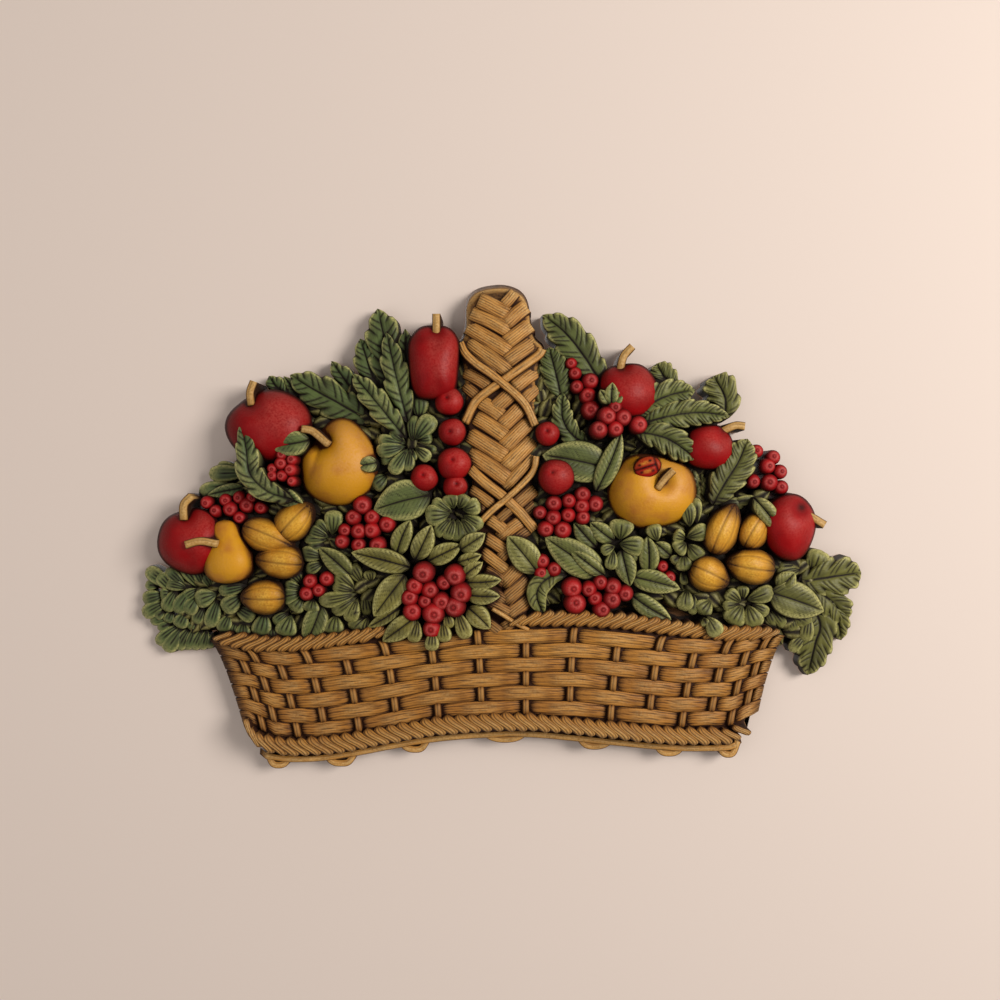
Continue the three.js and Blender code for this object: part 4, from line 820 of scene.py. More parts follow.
def addLeaf(carving, shape, lift, baseX, baseZ, tipX, tipZ, width, extra=0):
    length, half = math.hypot(tipX - baseX, tipZ - baseZ), width * leafCut["broad"] / 2
    alongX, alongZ = (tipX - baseX) / length, (tipZ - baseZ) / length
    u = np.linspace(0, 1, max(13, int(length / relief["step"])))[:, None]
    s = spaced(2 * max(5, round(half * 1.25)) + 1)[None, :]
    narrow, blunt = leafCut["shapes"][shape]
    peak = narrow / (narrow + blunt)
    outline = (u / peak) ** narrow * ((1 - u) / (1 - peak)) ** blunt
    wide = np.maximum(half * outline, 0.25)
    bend = random.uniform(-1, 1) * leafCut["bend"] * length * np.sin(u * math.pi)
    side = wide * s + bend
    x = baseX + alongX * length * u - alongZ * side
    z = baseZ + alongZ * length * u + alongX * side
    ground = moundHeight(baseX + alongX * length * u, baseZ + alongZ * length * u) + lift + extra - leafCut["sink"]
    away = np.abs(s)
    swell = min(1.9, leafCut["pillow"] * half)
    if shape == "blade":
        height = ground - 3 * (1 - u) ** 4 + 0.6 * np.sin(u * math.pi) - 1.6 * u ** 8
        height = height + swell * (4 * away * (1 - away)) ** 0.8 * outline - 0.9 * away ** 8
        midrib = ridge(wide * s, 0.62) * smoothStep(1, 0.86, u)
        phase = (u * length - away * wide * 0.9) / leafCut["veinPitch"]
        vein = ridge(np.sin(phase * math.pi), 0.3) * smoothStep(0.05, 0.2, away) * smoothStep(1, 0.8, away)
        vein = vein * smoothStep(2.2, 3.6, wide) * (0.7 + 0.3 * np.sin(u * 11 + wide * s * 0.8 + baseX))
        height = height - leafCut["midribDepth"] * midrib - leafCut["veinDepth"] * vein
        washAndShade = midrib + 0.85 * vein + 0.7 * smoothStep(0.22, 0, u)
    else:
        height = ground - 4.5 * (1 - u) ** 3 + 0.8 * np.sin(u * math.pi) - 2.2 * u ** 7
        height = height + (swell + 0.8) * (1 - away ** 2.4) * outline - 0.8 * away ** 8
        stroke = sum(ridge((s - place) * wide, 0.5) for place in (-0.42, 0, 0.42) if place == 0 or half > 3.4)
        stroke = stroke * smoothStep(0.08, 0.2, u) * smoothStep(0.82, 0.62, u)
        height = height - leafCut["strokeDepth"] * stroke
        washAndShade = stroke + 0.7 * smoothStep(0.26, 0, u)
    washAndShade = np.clip(washAndShade + 0.5 * smoothStep(0.93, 1, away), 0, 1)
    light = 0.9 * smoothStep(0.55, 0.85, away) * smoothStep(1.02, 0.95, away) + 0.5 * smoothStep(0.7, 0.95, u)
    addSheet(carving, x, z, height, washAndShade, np.clip(light, 0, 1) * (1 - washAndShade), random.random(), greenHue(baseX, baseZ),
             u * length, side)


toothed = {
    "depth": 0.8,            # of a tooth, as a share of its length
    "sweep": 0.8,            # how far the teeth lean towards the tip
    "broad": 1.14,
    "swell": 1.9,
    "veinDepth": 0.55,
    "toothSwell": 0.9,
    "sink": 5,
    "step": 0.75,
}


def addToothedLeaf(carving, lift, width, teeth, line):
    # a blade cut into teeth that sweep forward, with two veins to each tooth
    length = np.sum(np.hypot(*np.diff(np.array(line, float), axis=0).T))
    centre = smoothLine(line, 200)
    way = np.gradient(centre, axis=0)
    way = way / np.linalg.norm(way, axis=1, keepdims=True)
    half = width * toothed["broad"] / 2
    u = np.linspace(0, 1, int(length / toothed["step"]))[:, None]
    s = spaced(2 * round(half * 0.9) + 3)[None, :]
    away = np.abs(s)
    phase = (u * ((teeth or 3) + 0.7) + 0.5 * (s > 0)) % 1
    filled = smoothStep(0, 0.7, phase) * smoothStep(1, 0.86, phase)
    outline = (u / 0.4) ** 0.6 * ((1 - u) / 0.6) ** 0.9
    depth = toothed["depth"] / (teeth + 0.7) * (teeth > 0)
    side = np.maximum(half * outline * (1 - depth * (1 - filled)), 0.25) * s
    walk = np.clip(u + toothed["sweep"] * half * np.sin(u * math.pi) * away ** 1.3 / length, 0, 1) * 199
    px, pz, wayX, wayZ = (np.interp(walk, np.arange(200), column) for column in (*centre.T, *way.T))
    midrib = ridge(side, 0.7) * smoothStep(1, 0.86, u)
    vein = ridge(phase - 0.36, 0.055) + ridge(phase - 0.66, 0.055)
    vein = vein * smoothStep(0.06, 0.2, away) * smoothStep(0.98, 0.8, away)
    notch = ridge(np.minimum(phase, 1 - phase), 0.06) * smoothStep(0.35, 0.7, away) * (teeth > 0)
    height = moundHeight(px, pz) + lift - toothed["sink"] - 3 * (1 - u) ** 4 + 0.8 * np.sin(u * math.pi) - 1.6 * u ** 8
    height = height + toothed["swell"] * (4 * away * (1 - away)) ** 0.8 * outline - 0.9 * away ** 8
    height = height + toothed["toothSwell"] * np.sin(phase * math.pi) * smoothStep(0.2, 0.7, away)
    height = height - midrib - toothed["veinDepth"] * vein - notch
    washAndShade = 0.9 * midrib + 0.85 * vein + 0.9 * notch + 0.7 * smoothStep(0.2, 0, u) + 0.4 * smoothStep(0.95, 1, away)
    washAndShade = np.clip(washAndShade, 0, 1)
    light = smoothStep(0.8, 0.92, away) * smoothStep(1.02, 0.97, away) * (0.4 + 0.6 * filled)
    addSheet(carving, px - wayZ * side, pz + wayX * side, height, washAndShade, light * (1 - washAndShade), random.random(),
             greenHue(*line[0]), u * length, side)


underLeaves = {
    "pitch": 11.5, "rowPitch": 9.89, "lift": -2.6, "liftSpread": 2.2, "long": 19, "wide": 12,
    "lowest": -244, "highest": 20, "outer": 290,
    "scatter": 3,
    "sizes": (0.8, 1.15),
    "turnSpread": 0.9,
    "reach": 0.95,           # they end a little inside the edge of the ground
    "inside": 6,
    "handleHalf": 24,        # none under the handle
    "bareBelow": -208,       # nor low down on the right, where the ground shows
    "bareFrom": 30,
    "bareTo": 172,
}


def underLeafPiece():
    # one small leaf of few faces, drawn along x with its middle at the origin
    carving = newCarving(loose=True)
    u, outline = np.array([[0, 0.15], [0.22, 0.75], [0.5, 1], [0.78, 0.82], [1, 0.2]]).T[:, :, None]
    s = np.array([[-1, -0.5, -0.1, 0.1, 0.5, 1]])
    away = np.abs(s)
    height = 1.6 * outline * (1 - (away - 0.4) ** 2 * 2.5) - 3 * (1 - u) ** 3 - 1.0 * u ** 4
    washAndShade = 0.9 * (away < 0.2) + 0.7 * smoothStep(0.3, 0, u) + 0.4 * (away > 0.9)
    half = underLeaves["wide"] / 2
    addSheet(carving, underLeaves["long"] * (u - 0.5), half * outline * s, height, washAndShade, 0.7 * (away == 0.5), 0, 0.45,
             underLeaves["long"] * u, half * s)
    return loosePiece("under_leaf", carving)


def buildUnderLeaves(tree, finish):
    # small dark leaves that fill the ground between the named ones, pointing outwards from the middle
    middleX, middleZ = slab["middle"]
    fromMiddle = np.array(slab["outline"], float) - slab["middle"]
    angles, radii = np.arctan2(fromMiddle[:, 1], fromMiddle[:, 0]), np.hypot(*fromMiddle.T)
    order = np.argsort(angles)
    pitch, outer, scatter, spread = (underLeaves[key] for key in ("pitch", "outer", "scatter", "turnSpread"))
    places, sizes, turns = [], [], []
    for row, z in enumerate(np.arange(underLeaves["lowest"], underLeaves["highest"], underLeaves["rowPitch"])):
        for x in np.arange(-outer, outer, pitch) + (row % 2) * pitch / 2:
            px, pz = x + random.uniform(-scatter, scatter), z + random.uniform(-scatter, scatter)
            angle = math.atan2(pz - middleZ, px - middleX)
            edge = np.interp(angle, angles[order], radii[order], period=2 * math.pi) * underLeaves["reach"]
            bare = pz < underLeaves["bareBelow"] and underLeaves["bareFrom"] < px < underLeaves["bareTo"]
            outside = math.hypot(px - middleX, pz - middleZ) >= edge - underLeaves["inside"]
            if bare or outside or abs(px) < underLeaves["handleHalf"]:
                continue
            lift = underLeaves["lift"] + underLeaves["liftSpread"] * random.random()
            places.append([px, pz, moundHeight(px, pz) + lift])
            sizes.append(random.uniform(*underLeaves["sizes"]))
            turns.append(-angle + random.uniform(-spread, spread))
    return placedPiece("under_leaves", underLeafPiece(), places, sizes, turns, tree, finish)


def buildLeaves():
    left, right = newCarving(), newCarving()
    for shape, lift, rows in leafSprays:
        for row in rows:
            addLeaf(left if row[0] < 0 else right, shape, lift, *row)
    for leaf in toothedLeaves:
        addToothedLeaf(left if leaf[3][0][0] < 0 else right, *leaf)
    return carvedPiece("leaves_left", left), carvedPiece("leaves_right", right)


# Round fruit: the eye is the hollow round the stem, the notch cuts into the outline beside it, and square is
# under 1 where the fruit has shoulders
redApples = [
    {"at": [-184, -70], "radii": [35, 30], "crown": 47, "notch": 0.02, "eye": [-200, -50], "eyeWidth": 10,
     "eyeDepth": 6},
    {"at": [-53, -19], "radii": [20, 30], "crown": 45, "square": 0.6, "taper": 0.1, "eye": [-51, 8]},
    {"at": [-247, -161], "radii": [27, 27], "crown": 42, "notch": 0.03, "eye": [-252, -141], "eyeWidth": 10,
     "eyeDepth": 6},
    {"at": [102, -42], "radii": [24, 24], "crown": 44, "square": 0.9, "notch": 0.04, "eye": [97, -22]},
    {"at": [167, -86], "radii": [20, 18], "crown": 42, "square": 0.85, "eye": [180, -71]},
    {"at": [231, -150], "radii": [22, 27], "crown": 43, "taper": 0.1, "eye": [241, -134], "eyeWidth": 9,
     "eyeDepth": 4},
]
goldApples = [
    {"at": [-129, -99], "radii": [32, 35], "crown": 50, "notch": 0.11, "eye": [-142, -82], "eyeWidth": 12,
     "eyeDepth": 9, "crease": [-154, -118]},
    {"at": [121, -121], "radii": [36, 30], "crown": 50, "eye": [131, -113], "eyeWidth": 11, "eyeDepth": 7,
     "square": 0.9},
]
# crab apples: [x, z, radius]
crabApples = [[-40.8, -49, 11.7], [-38.4, -73.6, 11.3], [-36.8, -99.2, 13.8], [-60.8, -110.4, 11.3], [-36, -117, 10],
              [38, -75, 10], [44.8, -109.6, 14.8]]
crabCut = {"sides": 44, "rings": 16, "eyeWidth": 2.6, "eyeDepth": 1.8}
fruitRise = 0.95         # how far a fruit stands out of its widest line, as a share of its smaller radius


def addFruit(carving, at, radii, equator, crown, eye, square=1.0, taper=0, notch=0, crease=None, sides=84, rings=34,
             hue=0, eyeWidth=8.5, eyeDepth=4.2):
    around = np.linspace(0, 2 * math.pi, sides, endpoint=False)[None, :]
    level = np.linspace(0, 1, rings + 1)[:, None]
    reach = np.cos(level * math.pi / 2)
    px = np.sign(np.cos(around)) * np.abs(np.cos(around)) ** square
    pz = np.sign(np.sin(around)) * np.abs(np.sin(around)) ** square
    lump = 1 + 0.02 * np.sin(3 * around + at[0]) + 0.012 * np.sin(5 * around + at[1])
    if notch:
        turned = np.angle(np.exp(1j * (around - math.atan2(eye[1] - at[1], eye[0] - at[0]))))
        lump = lump + notch * (0.45 * ridge(np.abs(turned) - 0.75, 0.35) - ridge(turned, 0.4))
    x = at[0] + radii[0] * reach * px * lump * (1 + taper * pz)
    z = at[1] + radii[1] * reach * pz * lump
    height = equator + (crown - equator) * np.sin(level * math.pi / 2) ** 0.92
    # the wash darkens the rim; towards the left, away from the light, it is painted shade, and it is darker towards
    # the top as well
    washAndShade = 0.9 * smoothStep(0.9, 1, reach) + 0.4 * smoothStep(0.5, 0.95, reach) * (0.6 - 0.4 * (px - 0.6 * pz))
    # painted highlight: a lighter patch up and to the right of each fruit, towards the key light, left off round the
    # eye
    light = smoothStep(0.9, 0.3, np.hypot(reach * px - 0.32, reach * pz - 0.3))
    away = np.hypot(x - eye[0], z - eye[1])
    height = height - eyeDepth * ridge(away, eyeWidth)
    washAndShade = washAndShade + 0.9 * ridge(away, eyeWidth * 0.42)
    light = light * smoothStep(0.6 * eyeWidth, 1.3 * eyeWidth, away)
    if crease is not None:
        run, rise = crease[0] - eye[0], crease[1] - eye[1]
        span = math.hypot(run, rise)
        share = np.clip(((x - eye[0]) * run + (z - eye[1]) * rise) / span ** 2, 0, 1)
        off = np.hypot(x - eye[0] - run * share, z - eye[1] - rise * share)
        fold = ridge(off, 4.5) * (1 - share)
        height = height - 3.2 * fold
        washAndShade = washAndShade + 0.7 * ridge(off, 2) * (1 - share)
    addDome(carving, x, z, height, washAndShade, light, random.random(), hue)


def addApples(carving, apples, hue=0):
    for apple in apples:
        equator = apple["crown"] - min(apple["radii"]) * fruitRise
        addFruit(carving, equator=equator, hue=hue, **apple)
    return carving


def buildCrabApples():
    carving = newCarving()
    for x, z, radius in crabApples:
        equator = moundHeight(x, z) + 4
        eye = [x + random.uniform(-0.2, 0.3) * radius, z + random.uniform(-0.1, 0.35) * radius]
        addFruit(carving, [x, z], [radius, radius], equator, equator + radius * fruitRise, eye, **crabCut)
    return carvedPiece("crab_apples", carving)


pear = {
    "foot": [-216, -195], "tip": [-221, -144], "width": 40, "crown": 44,
    # its outline from foot to tip: shares of the length and of the width
    "profile": ([0, 0.02, 0.06, 0.18, 0.36, 0.55, 0.72, 0.88, 0.97, 1],
                [0.04, 0.36, 0.64, 0.93, 1, 0.86, 0.68, 0.53, 0.34, 0.04]),
}
nuts = [
    {"foot": [-206, -149], "tip": [-166, -166], "width": 27},
    {"foot": [-177, -158], "tip": [-152, -131], "width": 29},
    {"foot": [-158, -179], "tip": [-196, -175], "width": 28},
    {"foot": [-172, -206], "tip": [-208, -206], "width": 28},
    {"foot": [170, -171], "tip": [188, -131], "width": 27},
    {"foot": [196, -166], "tip": [213, -137], "width": 25},
    {"foot": [220, -184], "tip": [181, -178], "width": 29},
    {"foot": [153, -181], "tip": [183, -195], "width": 29},
]
nutProfile = ([0, 0.015, 0.05, 0.14, 0.4, 0.7, 0.88, 0.97, 1], [0.03, 0.3, 0.52, 0.78, 1, 0.84, 0.52, 0.26, 0.03])


def lengthwise(foot, tip, width, profile, step, columns):
    # a turned shape lying on its side: places, half widths and shares of its length
    length = math.hypot(tip[0] - foot[0], tip[1] - foot[1])
    alongX, alongZ = (tip[0] - foot[0]) / length, (tip[1] - foot[1]) / length
    share = (1 - np.cos(np.linspace(0, math.pi, int(length / step))))[:, None] / 2
    half = np.maximum(smoothThrough(*profile, share) * width / 2, 0.2)
    part = spaced(columns)[None, :]
    x = foot[0] + alongX * length * share - alongZ * half * part
    z = foot[1] + alongZ * length * share + alongX * half * part
    return x, z, half, part, share, length


def addPear(carving):
    x, z, half, part, share, length = lengthwise(pear["foot"], pear["tip"], pear["width"], pear["profile"], 0.9, 41)
    height = pear["crown"] - pear["width"] * 0.45 + half * 0.9 * np.sqrt(1 - 0.998 * part ** 2)
    ends = 0.5 * smoothStep(0.08, 0, share) + 0.5 * smoothStep(0.93, 1, share)
    washAndShade = 0.85 * smoothStep(0.7, 1, np.abs(part)) + ends
    addSheet(carving, x, z, height, washAndShade, 0, 0.35, 0.5, share * length, part * half)


def buildNuts():
    carving = newCarving()
    for nut in nuts:
        x, z, half, part, share, length = lengthwise(nut["foot"], nut["tip"], nut["width"], nutProfile, 0.8, 27)
        away = np.abs(part)
        seam = ridge((part - 0.12) * half, 0.6) + 0.7 * ridge((part + 0.55) * half, 0.6)
        pits = 0.25 * np.sin(x * 1.3 + 2 * np.sin(z * 0.7)) * np.sin(z * 1.1 + 1.7 * np.sin(x * 0.9))
        height = moundHeight(x, z) + 6 + half * np.sqrt(1 - 0.998 * part ** 2)
        height = height - 0.7 * seam * (half > 2) + pits * (half > 3)
        ends = 0.8 * smoothStep(0.26, 0, share) + 0.95 * smoothStep(0.64, 1, share)
        washAndShade = 0.55 * seam + 0.8 * smoothStep(0.62, 1, away) + ends
        light = np.clip(pits + 0.9 * (1 - away) * smoothStep(0.2, 0.45, share) * smoothStep(0.8, 0.5, share), 0, 1)
        addSheet(carving, x, z, height, washAndShade, light, random.random(), random.random(), share * length, part * half)
    return carvedPiece("nuts", carving)


# Stems: the line from the fruit to the cut end, and the heights of both
stems = [
    {"line": [[-199, -52], [-200, -42], [-197, -33]], "width": 6.5, "heights": [32, 31]},
    {"line": [[-51, 2], [-51, 21]], "width": 6.5, "heights": [33, 34]},
    {"line": [[-253, -144], [-253, -132], [-247, -125]], "width": 7, "heights": [31, 30]},
    {"line": [[96, -25], [99, -13], [106, -5]], "width": 6.5, "heights": [29, 28]},
    {"line": [[178, -73], [188, -68.5], [196, -69]], "width": 6.5, "heights": [27, 26]},
    {"line": [[236, -137], [248, -141], [260, -148]], "width": 6.5, "heights": [33, 28]},
    {"line": [[-159, -71], [-150, -73], [-138, -83]], "width": 6.5, "heights": [43, 47]},
    {"line": [[-252, -164], [-240, -161], [-227, -163]], "width": 6.5, "heights": [44, 43]},
    {"line": [[126, -119], [132, -111], [139, -104]], "width": 6, "heights": [47, 50]},
]


def buildStems():
    carving = newCarving()
    for stem in stems:
        near, far = stem["heights"]
        addBar(carving, stem["line"], stem["width"], lambda x, z, share: near + (far - near) * share, 1,
               random.random(), 0.2, dark=0.1)
    return carvedPiece("stems", carving)


ladybird = {
    "at": [118, -101.5], "long": 11.5, "wide": 8.5, "turn": 0.3, "base": 44, "swell": 5.5,
    "neck": 0.62,            # where the head begins, as a share of half its length
    "spots": [[-0.5, 0.35], [0.3, 0.5], [-0.5, -0.35], [0.3, -0.5]],
}


def buildLadybird():
    carving = newCarving()
    around = np.linspace(0, 2 * math.pi, 48, endpoint=False)[None, :]
    level = np.linspace(0, 1, 17)[:, None]
    reach = np.cos(level * math.pi / 2)
    u, v = reach * np.cos(around), reach * np.sin(around)
    height = ladybird["base"] + ladybird["swell"] * np.sin(level * math.pi / 2) ** 0.8 + 0 * around
    seam = ridge(v, 0.1) * (u < ladybird["neck"])
    neck = ridge(u - ladybird["neck"], 0.08)
    spots = sum(np.exp(-(np.hypot(u - a, v - b) / 0.13) ** 4) for a, b in ladybird["spots"])
    height = height - 0.9 * seam - 1.2 * neck
    washAndShade = seam + neck + spots + smoothStep(0.85, 1, reach)
    light = 0.8 * np.exp(-((np.abs(v) - 0.4) / 0.14) ** 2 - ((u + 0.1) / 0.3) ** 2)
    c, s = math.cos(ladybird["turn"]), math.sin(ladybird["turn"])
    along, across = ladybird["long"] * u, ladybird["wide"] * v
    x, z = ladybird["at"][0] + c * along - s * across, ladybird["at"][1] + s * along + c * across
    addDome(carving, x, z, height, washAndShade, np.clip(light, 0, 1), 0.5, 0)
    return carvedPiece("ladybird", carving)


# Berry bunches: how far each stands out, and [x, z, radius] of each berry
bunches = [
    (12, [
        [-234, -130, 5], [-227, -137, 5], [-219, -128, 5], [-215, -135, 6], [-208, -126, 5], [-202, -132, 6],
        [-198, -126, 4.5], [-191, -134, 5], [-208, -142, 5],
    ]),
    (25, [
        [-174, -92, 4.5], [-166, -96, 4.5], [-175, -99, 5], [-182, -103, 4], [-167, -104, 5], [-182, -109, 4.5],
        [-174, -108.5, 4.5], [-166, -113, 4],
    ]),
    (14, [
        [-110, -132, 7], [-117, -142, 6], [-102, -142, 6], [-90, -147, 6.5], [-124, -152, 5], [-113, -153, 6],
        [-102, -152, 6.5], [-126, -161, 5.5], [-113, -164, 5.5], [-97.5, -164, 6.5],
    ]),
    (14, [[-151.5, -193, 5.5], [-138.5, -191, 5.5], [-154.5, -202.5, 5.5], [-145, -200, 5]]),
    (20, [
        [-61, -186, 8], [-36, -188, 8], [-68, -197, 6.5], [-56, -200, 6.5], [-45, -194, 5.5], [-72, -206, 6.5],
        [-60, -209, 5.5], [-47, -209, 7], [-31, -202, 8], [-70, -217, 7], [-53, -218, 8.5], [-36, -213, 8],
        [-54, -231, 7],
    ]),
    (13, [[57, -19, 4.5], [60, -27, 5], [61.5, -37.5, 5], [72, -33.5, 6.5], [70.5, -45, 6.5], [73, -56, 7.5]]),
    (24, [[85.5, -61, 7], [92, -53.5, 5.5], [98, -62, 6.5], [79, -72, 6.5], [92, -71, 6], [110.5, -68, 6.5]]),
    (14, [
        [66, -124, 6], [43, -131, 6], [55, -129, 5.5], [65.5, -133, 6], [76, -131, 6], [32, -138, 5],
        [42.5, -142, 6], [54.5, -140, 5.5], [66, -142, 5.5], [36.5, -151, 6], [50, -152, 6.5],
    ]),
    (14, [[33.5, -177, 5.5], [32.5, -186, 5], [43, -183.5, 5.5]]),
    (17, [
        [57.5, -198, 7.5], [71, -199, 6], [80, -194, 5.5], [90, -197.5, 6.5], [100, -202.5, 6], [76, -206.5, 5.5],
        [89, -207.5, 7], [60, -210.5, 8], [81, -215, 6.5],
    ]),
    (12, [[129.5, -181, 4.5], [127.5, -189, 4.5], [135, -190, 5]]),
    (10, [
        [205, -89, 5], [218, -94, 5.5], [213.5, -101, 6], [223.5, -105.5, 5.5], [202, -113, 5.5], [215, -114, 6.5],
        [224.5, -118, 5.5],
    ]),
]
berryCut = {"swell": 1.1, "sink": 9, "sides": 20, "rings": 11, "eyeX": 0.08, "eyeZ": 0.1, "eyeRing": 0.2}


def berryPiece():
    # one berry of radius 1 mm with its eye a little off the middle
    carving = newCarving(loose=True)
    around = np.linspace(0, 2 * math.pi, berryCut["sides"], endpoint=False)[None, :]
    level = np.linspace(0, 1, berryCut["rings"] + 1)[:, None] ** 0.85
    reach = np.cos(level * math.pi / 2)
    x, z = reach * np.cos(around), reach * np.sin(around)
    away = np.hypot(x - berryCut["eyeX"], z - berryCut["eyeZ"])
    ring = ridge(away - berryCut["eyeRing"], 0.09)
    height = 0.9 * np.sin(level * math.pi / 2) - 0.09 * ring
    washAndShade = 0.12 + 0.8 * smoothStep(0.6, 1, reach) + 0.65 * ring
    light = 0.9 * ridge(away - 2.2 * berryCut["eyeRing"], 0.14) + 0.5 * ridge(away, 0.1)
    addDome(carving, x, z, height, washAndShade, light, 0, 0)
    return loosePiece("berry", carving)


def buildBerries(tree, finish):
    places, radii = [], []
    for lift, berries in bunches:
        for x, z, radius in berries:
            places.append([x, z, moundHeight(x, z) + lift - berryCut["sink"]])
            radii.append(radius * berryCut["swell"])
    turns = random.uniform(0, 2 * math.pi, len(radii))
    return placedPiece("berries", berryPiece(), places, radii, turns, tree, finish)


def buildMound():
    carving = newCarving()
    rim = smoothLine(slab["outline"] + slab["outline"][:1], 260)[:-1].T
    shares = np.linspace(slab["share"], 0, 40)[:, None]
    x = slab["middle"][0] + (rim[0] - slab["middle"][0]) * shares
    z = slab["middle"][1] + (rim[1] - slab["middle"][1]) * shares
    rough = 0.7 * np.sin(x * 0.35 + 2 * np.sin(z * 0.2)) * np.sin(z * 0.4)
    floor = moundHeight(x, z) - slab["depth"] + rough * (shares > 0)
    height = slab["height"] + (floor - slab["height"]) * smoothStep(slab["share"], slab["share"] - 0.08, shares)
    low = smoothStep(-192, -214, z) * (shares < slab["share"])
    addDome(carving, x, z, height, 1 - 0.7 * low, 0, 0, low, gap=0)
    return carvedPiece("mound_and_back", carving)


# how the dark wash and painted shade settle in the hollows: it looks at the relief near and further off, and crests
# stand out by this much
cavity = {"cell": 1.0, "margin": 12, "near": 1.8, "far": 5.0, "depth": 3.6, "bias": 0.16, "crest": 2.2}


def blurred(grid, cells):
    reach = int(cells * 3)
    kernel = np.exp(-0.5 * (np.arange(-reach, reach + 1) / cells) ** 2)
    kernel /= kernel.sum()
    for axis in (0, 1):
        grid = np.apply_along_axis(
            lambda line: np.convolve(np.pad(line, reach, mode="edge"), kernel, "valid"), axis, grid)
    return grid


def pointsOf(piece):
    points = np.empty(len(piece.data.vertices) * 3, np.float32)
    piece.data.vertices.foreach_get("co", points)
    return points.reshape(-1, 3) / mm


def markHollows(pieces):
    # how deep each point lies below the relief around it, and how far it stands out, for the dark wash with painted
    # shade in the hollows and for the dry brush
    places = [pointsOf(piece) for piece in pieces]
    everything = np.vstack(places)
    low = everything.min(axis=0) - cavity["margin"]
    size = ((everything.max(axis=0) + cavity["margin"] - low) / cavity["cell"]).astype(int) + 1
    relieved = np.zeros((size[0], size[2]))
    column, row = ((everything[:, [0, 2]] - low[[0, 2]]) / cavity["cell"]).astype(int).T
    np.maximum.at(relieved, (column, row), -everything[:, 1])
    filled = np.max([np.roll(relieved, shift, (0, 1)) for shift in [(0, 0), (1, 0), (-1, 0), (0, 1), (0, -1)]], axis=0)
    relieved = np.where(relieved > 1, relieved, filled)
    near, far = blurred(relieved, cavity["near"] / cavity["cell"]), blurred(relieved, cavity["far"] / cavity["cell"])
    for piece, points in zip(pieces, places):
        column, row = ((points[:, [0, 2]] - low[[0, 2]]) / cavity["cell"]).T
        depth = 0.6 * sampled(near, column, row) + 0.4 * sampled(far, column, row) + points[:, 1]
        # hollow: dark wash with painted shade where a point lies below the relief around it
        hollow = np.clip((depth / cavity["depth"]) - cavity["bias"], 0, 1)
        crest = np.clip(-depth / cavity["crest"] - 0.3, 0, 1)
        for name, values in (("hollow", hollow), ("crest", crest)):
            piece.data.attributes.new(name, "FLOAT", "POINT").data.foreach_set("value", values.astype(np.float32))


def sampled(grid, column, row):
    c, r = np.clip(column - 0.5, 0, grid.shape[0] - 2), np.clip(row - 0.5, 0, grid.shape[1] - 2)
    c0, r0 = c.astype(int), r.astype(int)
    fc, fr = c - c0, r - r0
    return ((grid[c0, r0] * (1 - fc) + grid[c0 + 1, r0] * fc) * (1 - fr)
            + (grid[c0, r0 + 1] * (1 - fc) + grid[c0 + 1, r0 + 1] * fc) * fr)


def linearColour(hexColour):
    parts = [int(hexColour[i:i + 2], 16) / 255 for i in (1, 3, 5)]
    return [c / 12.92 if c <= 0.04045 else ((c + 0.055) / 1.055) ** 2.4 for c in parts] + [1]


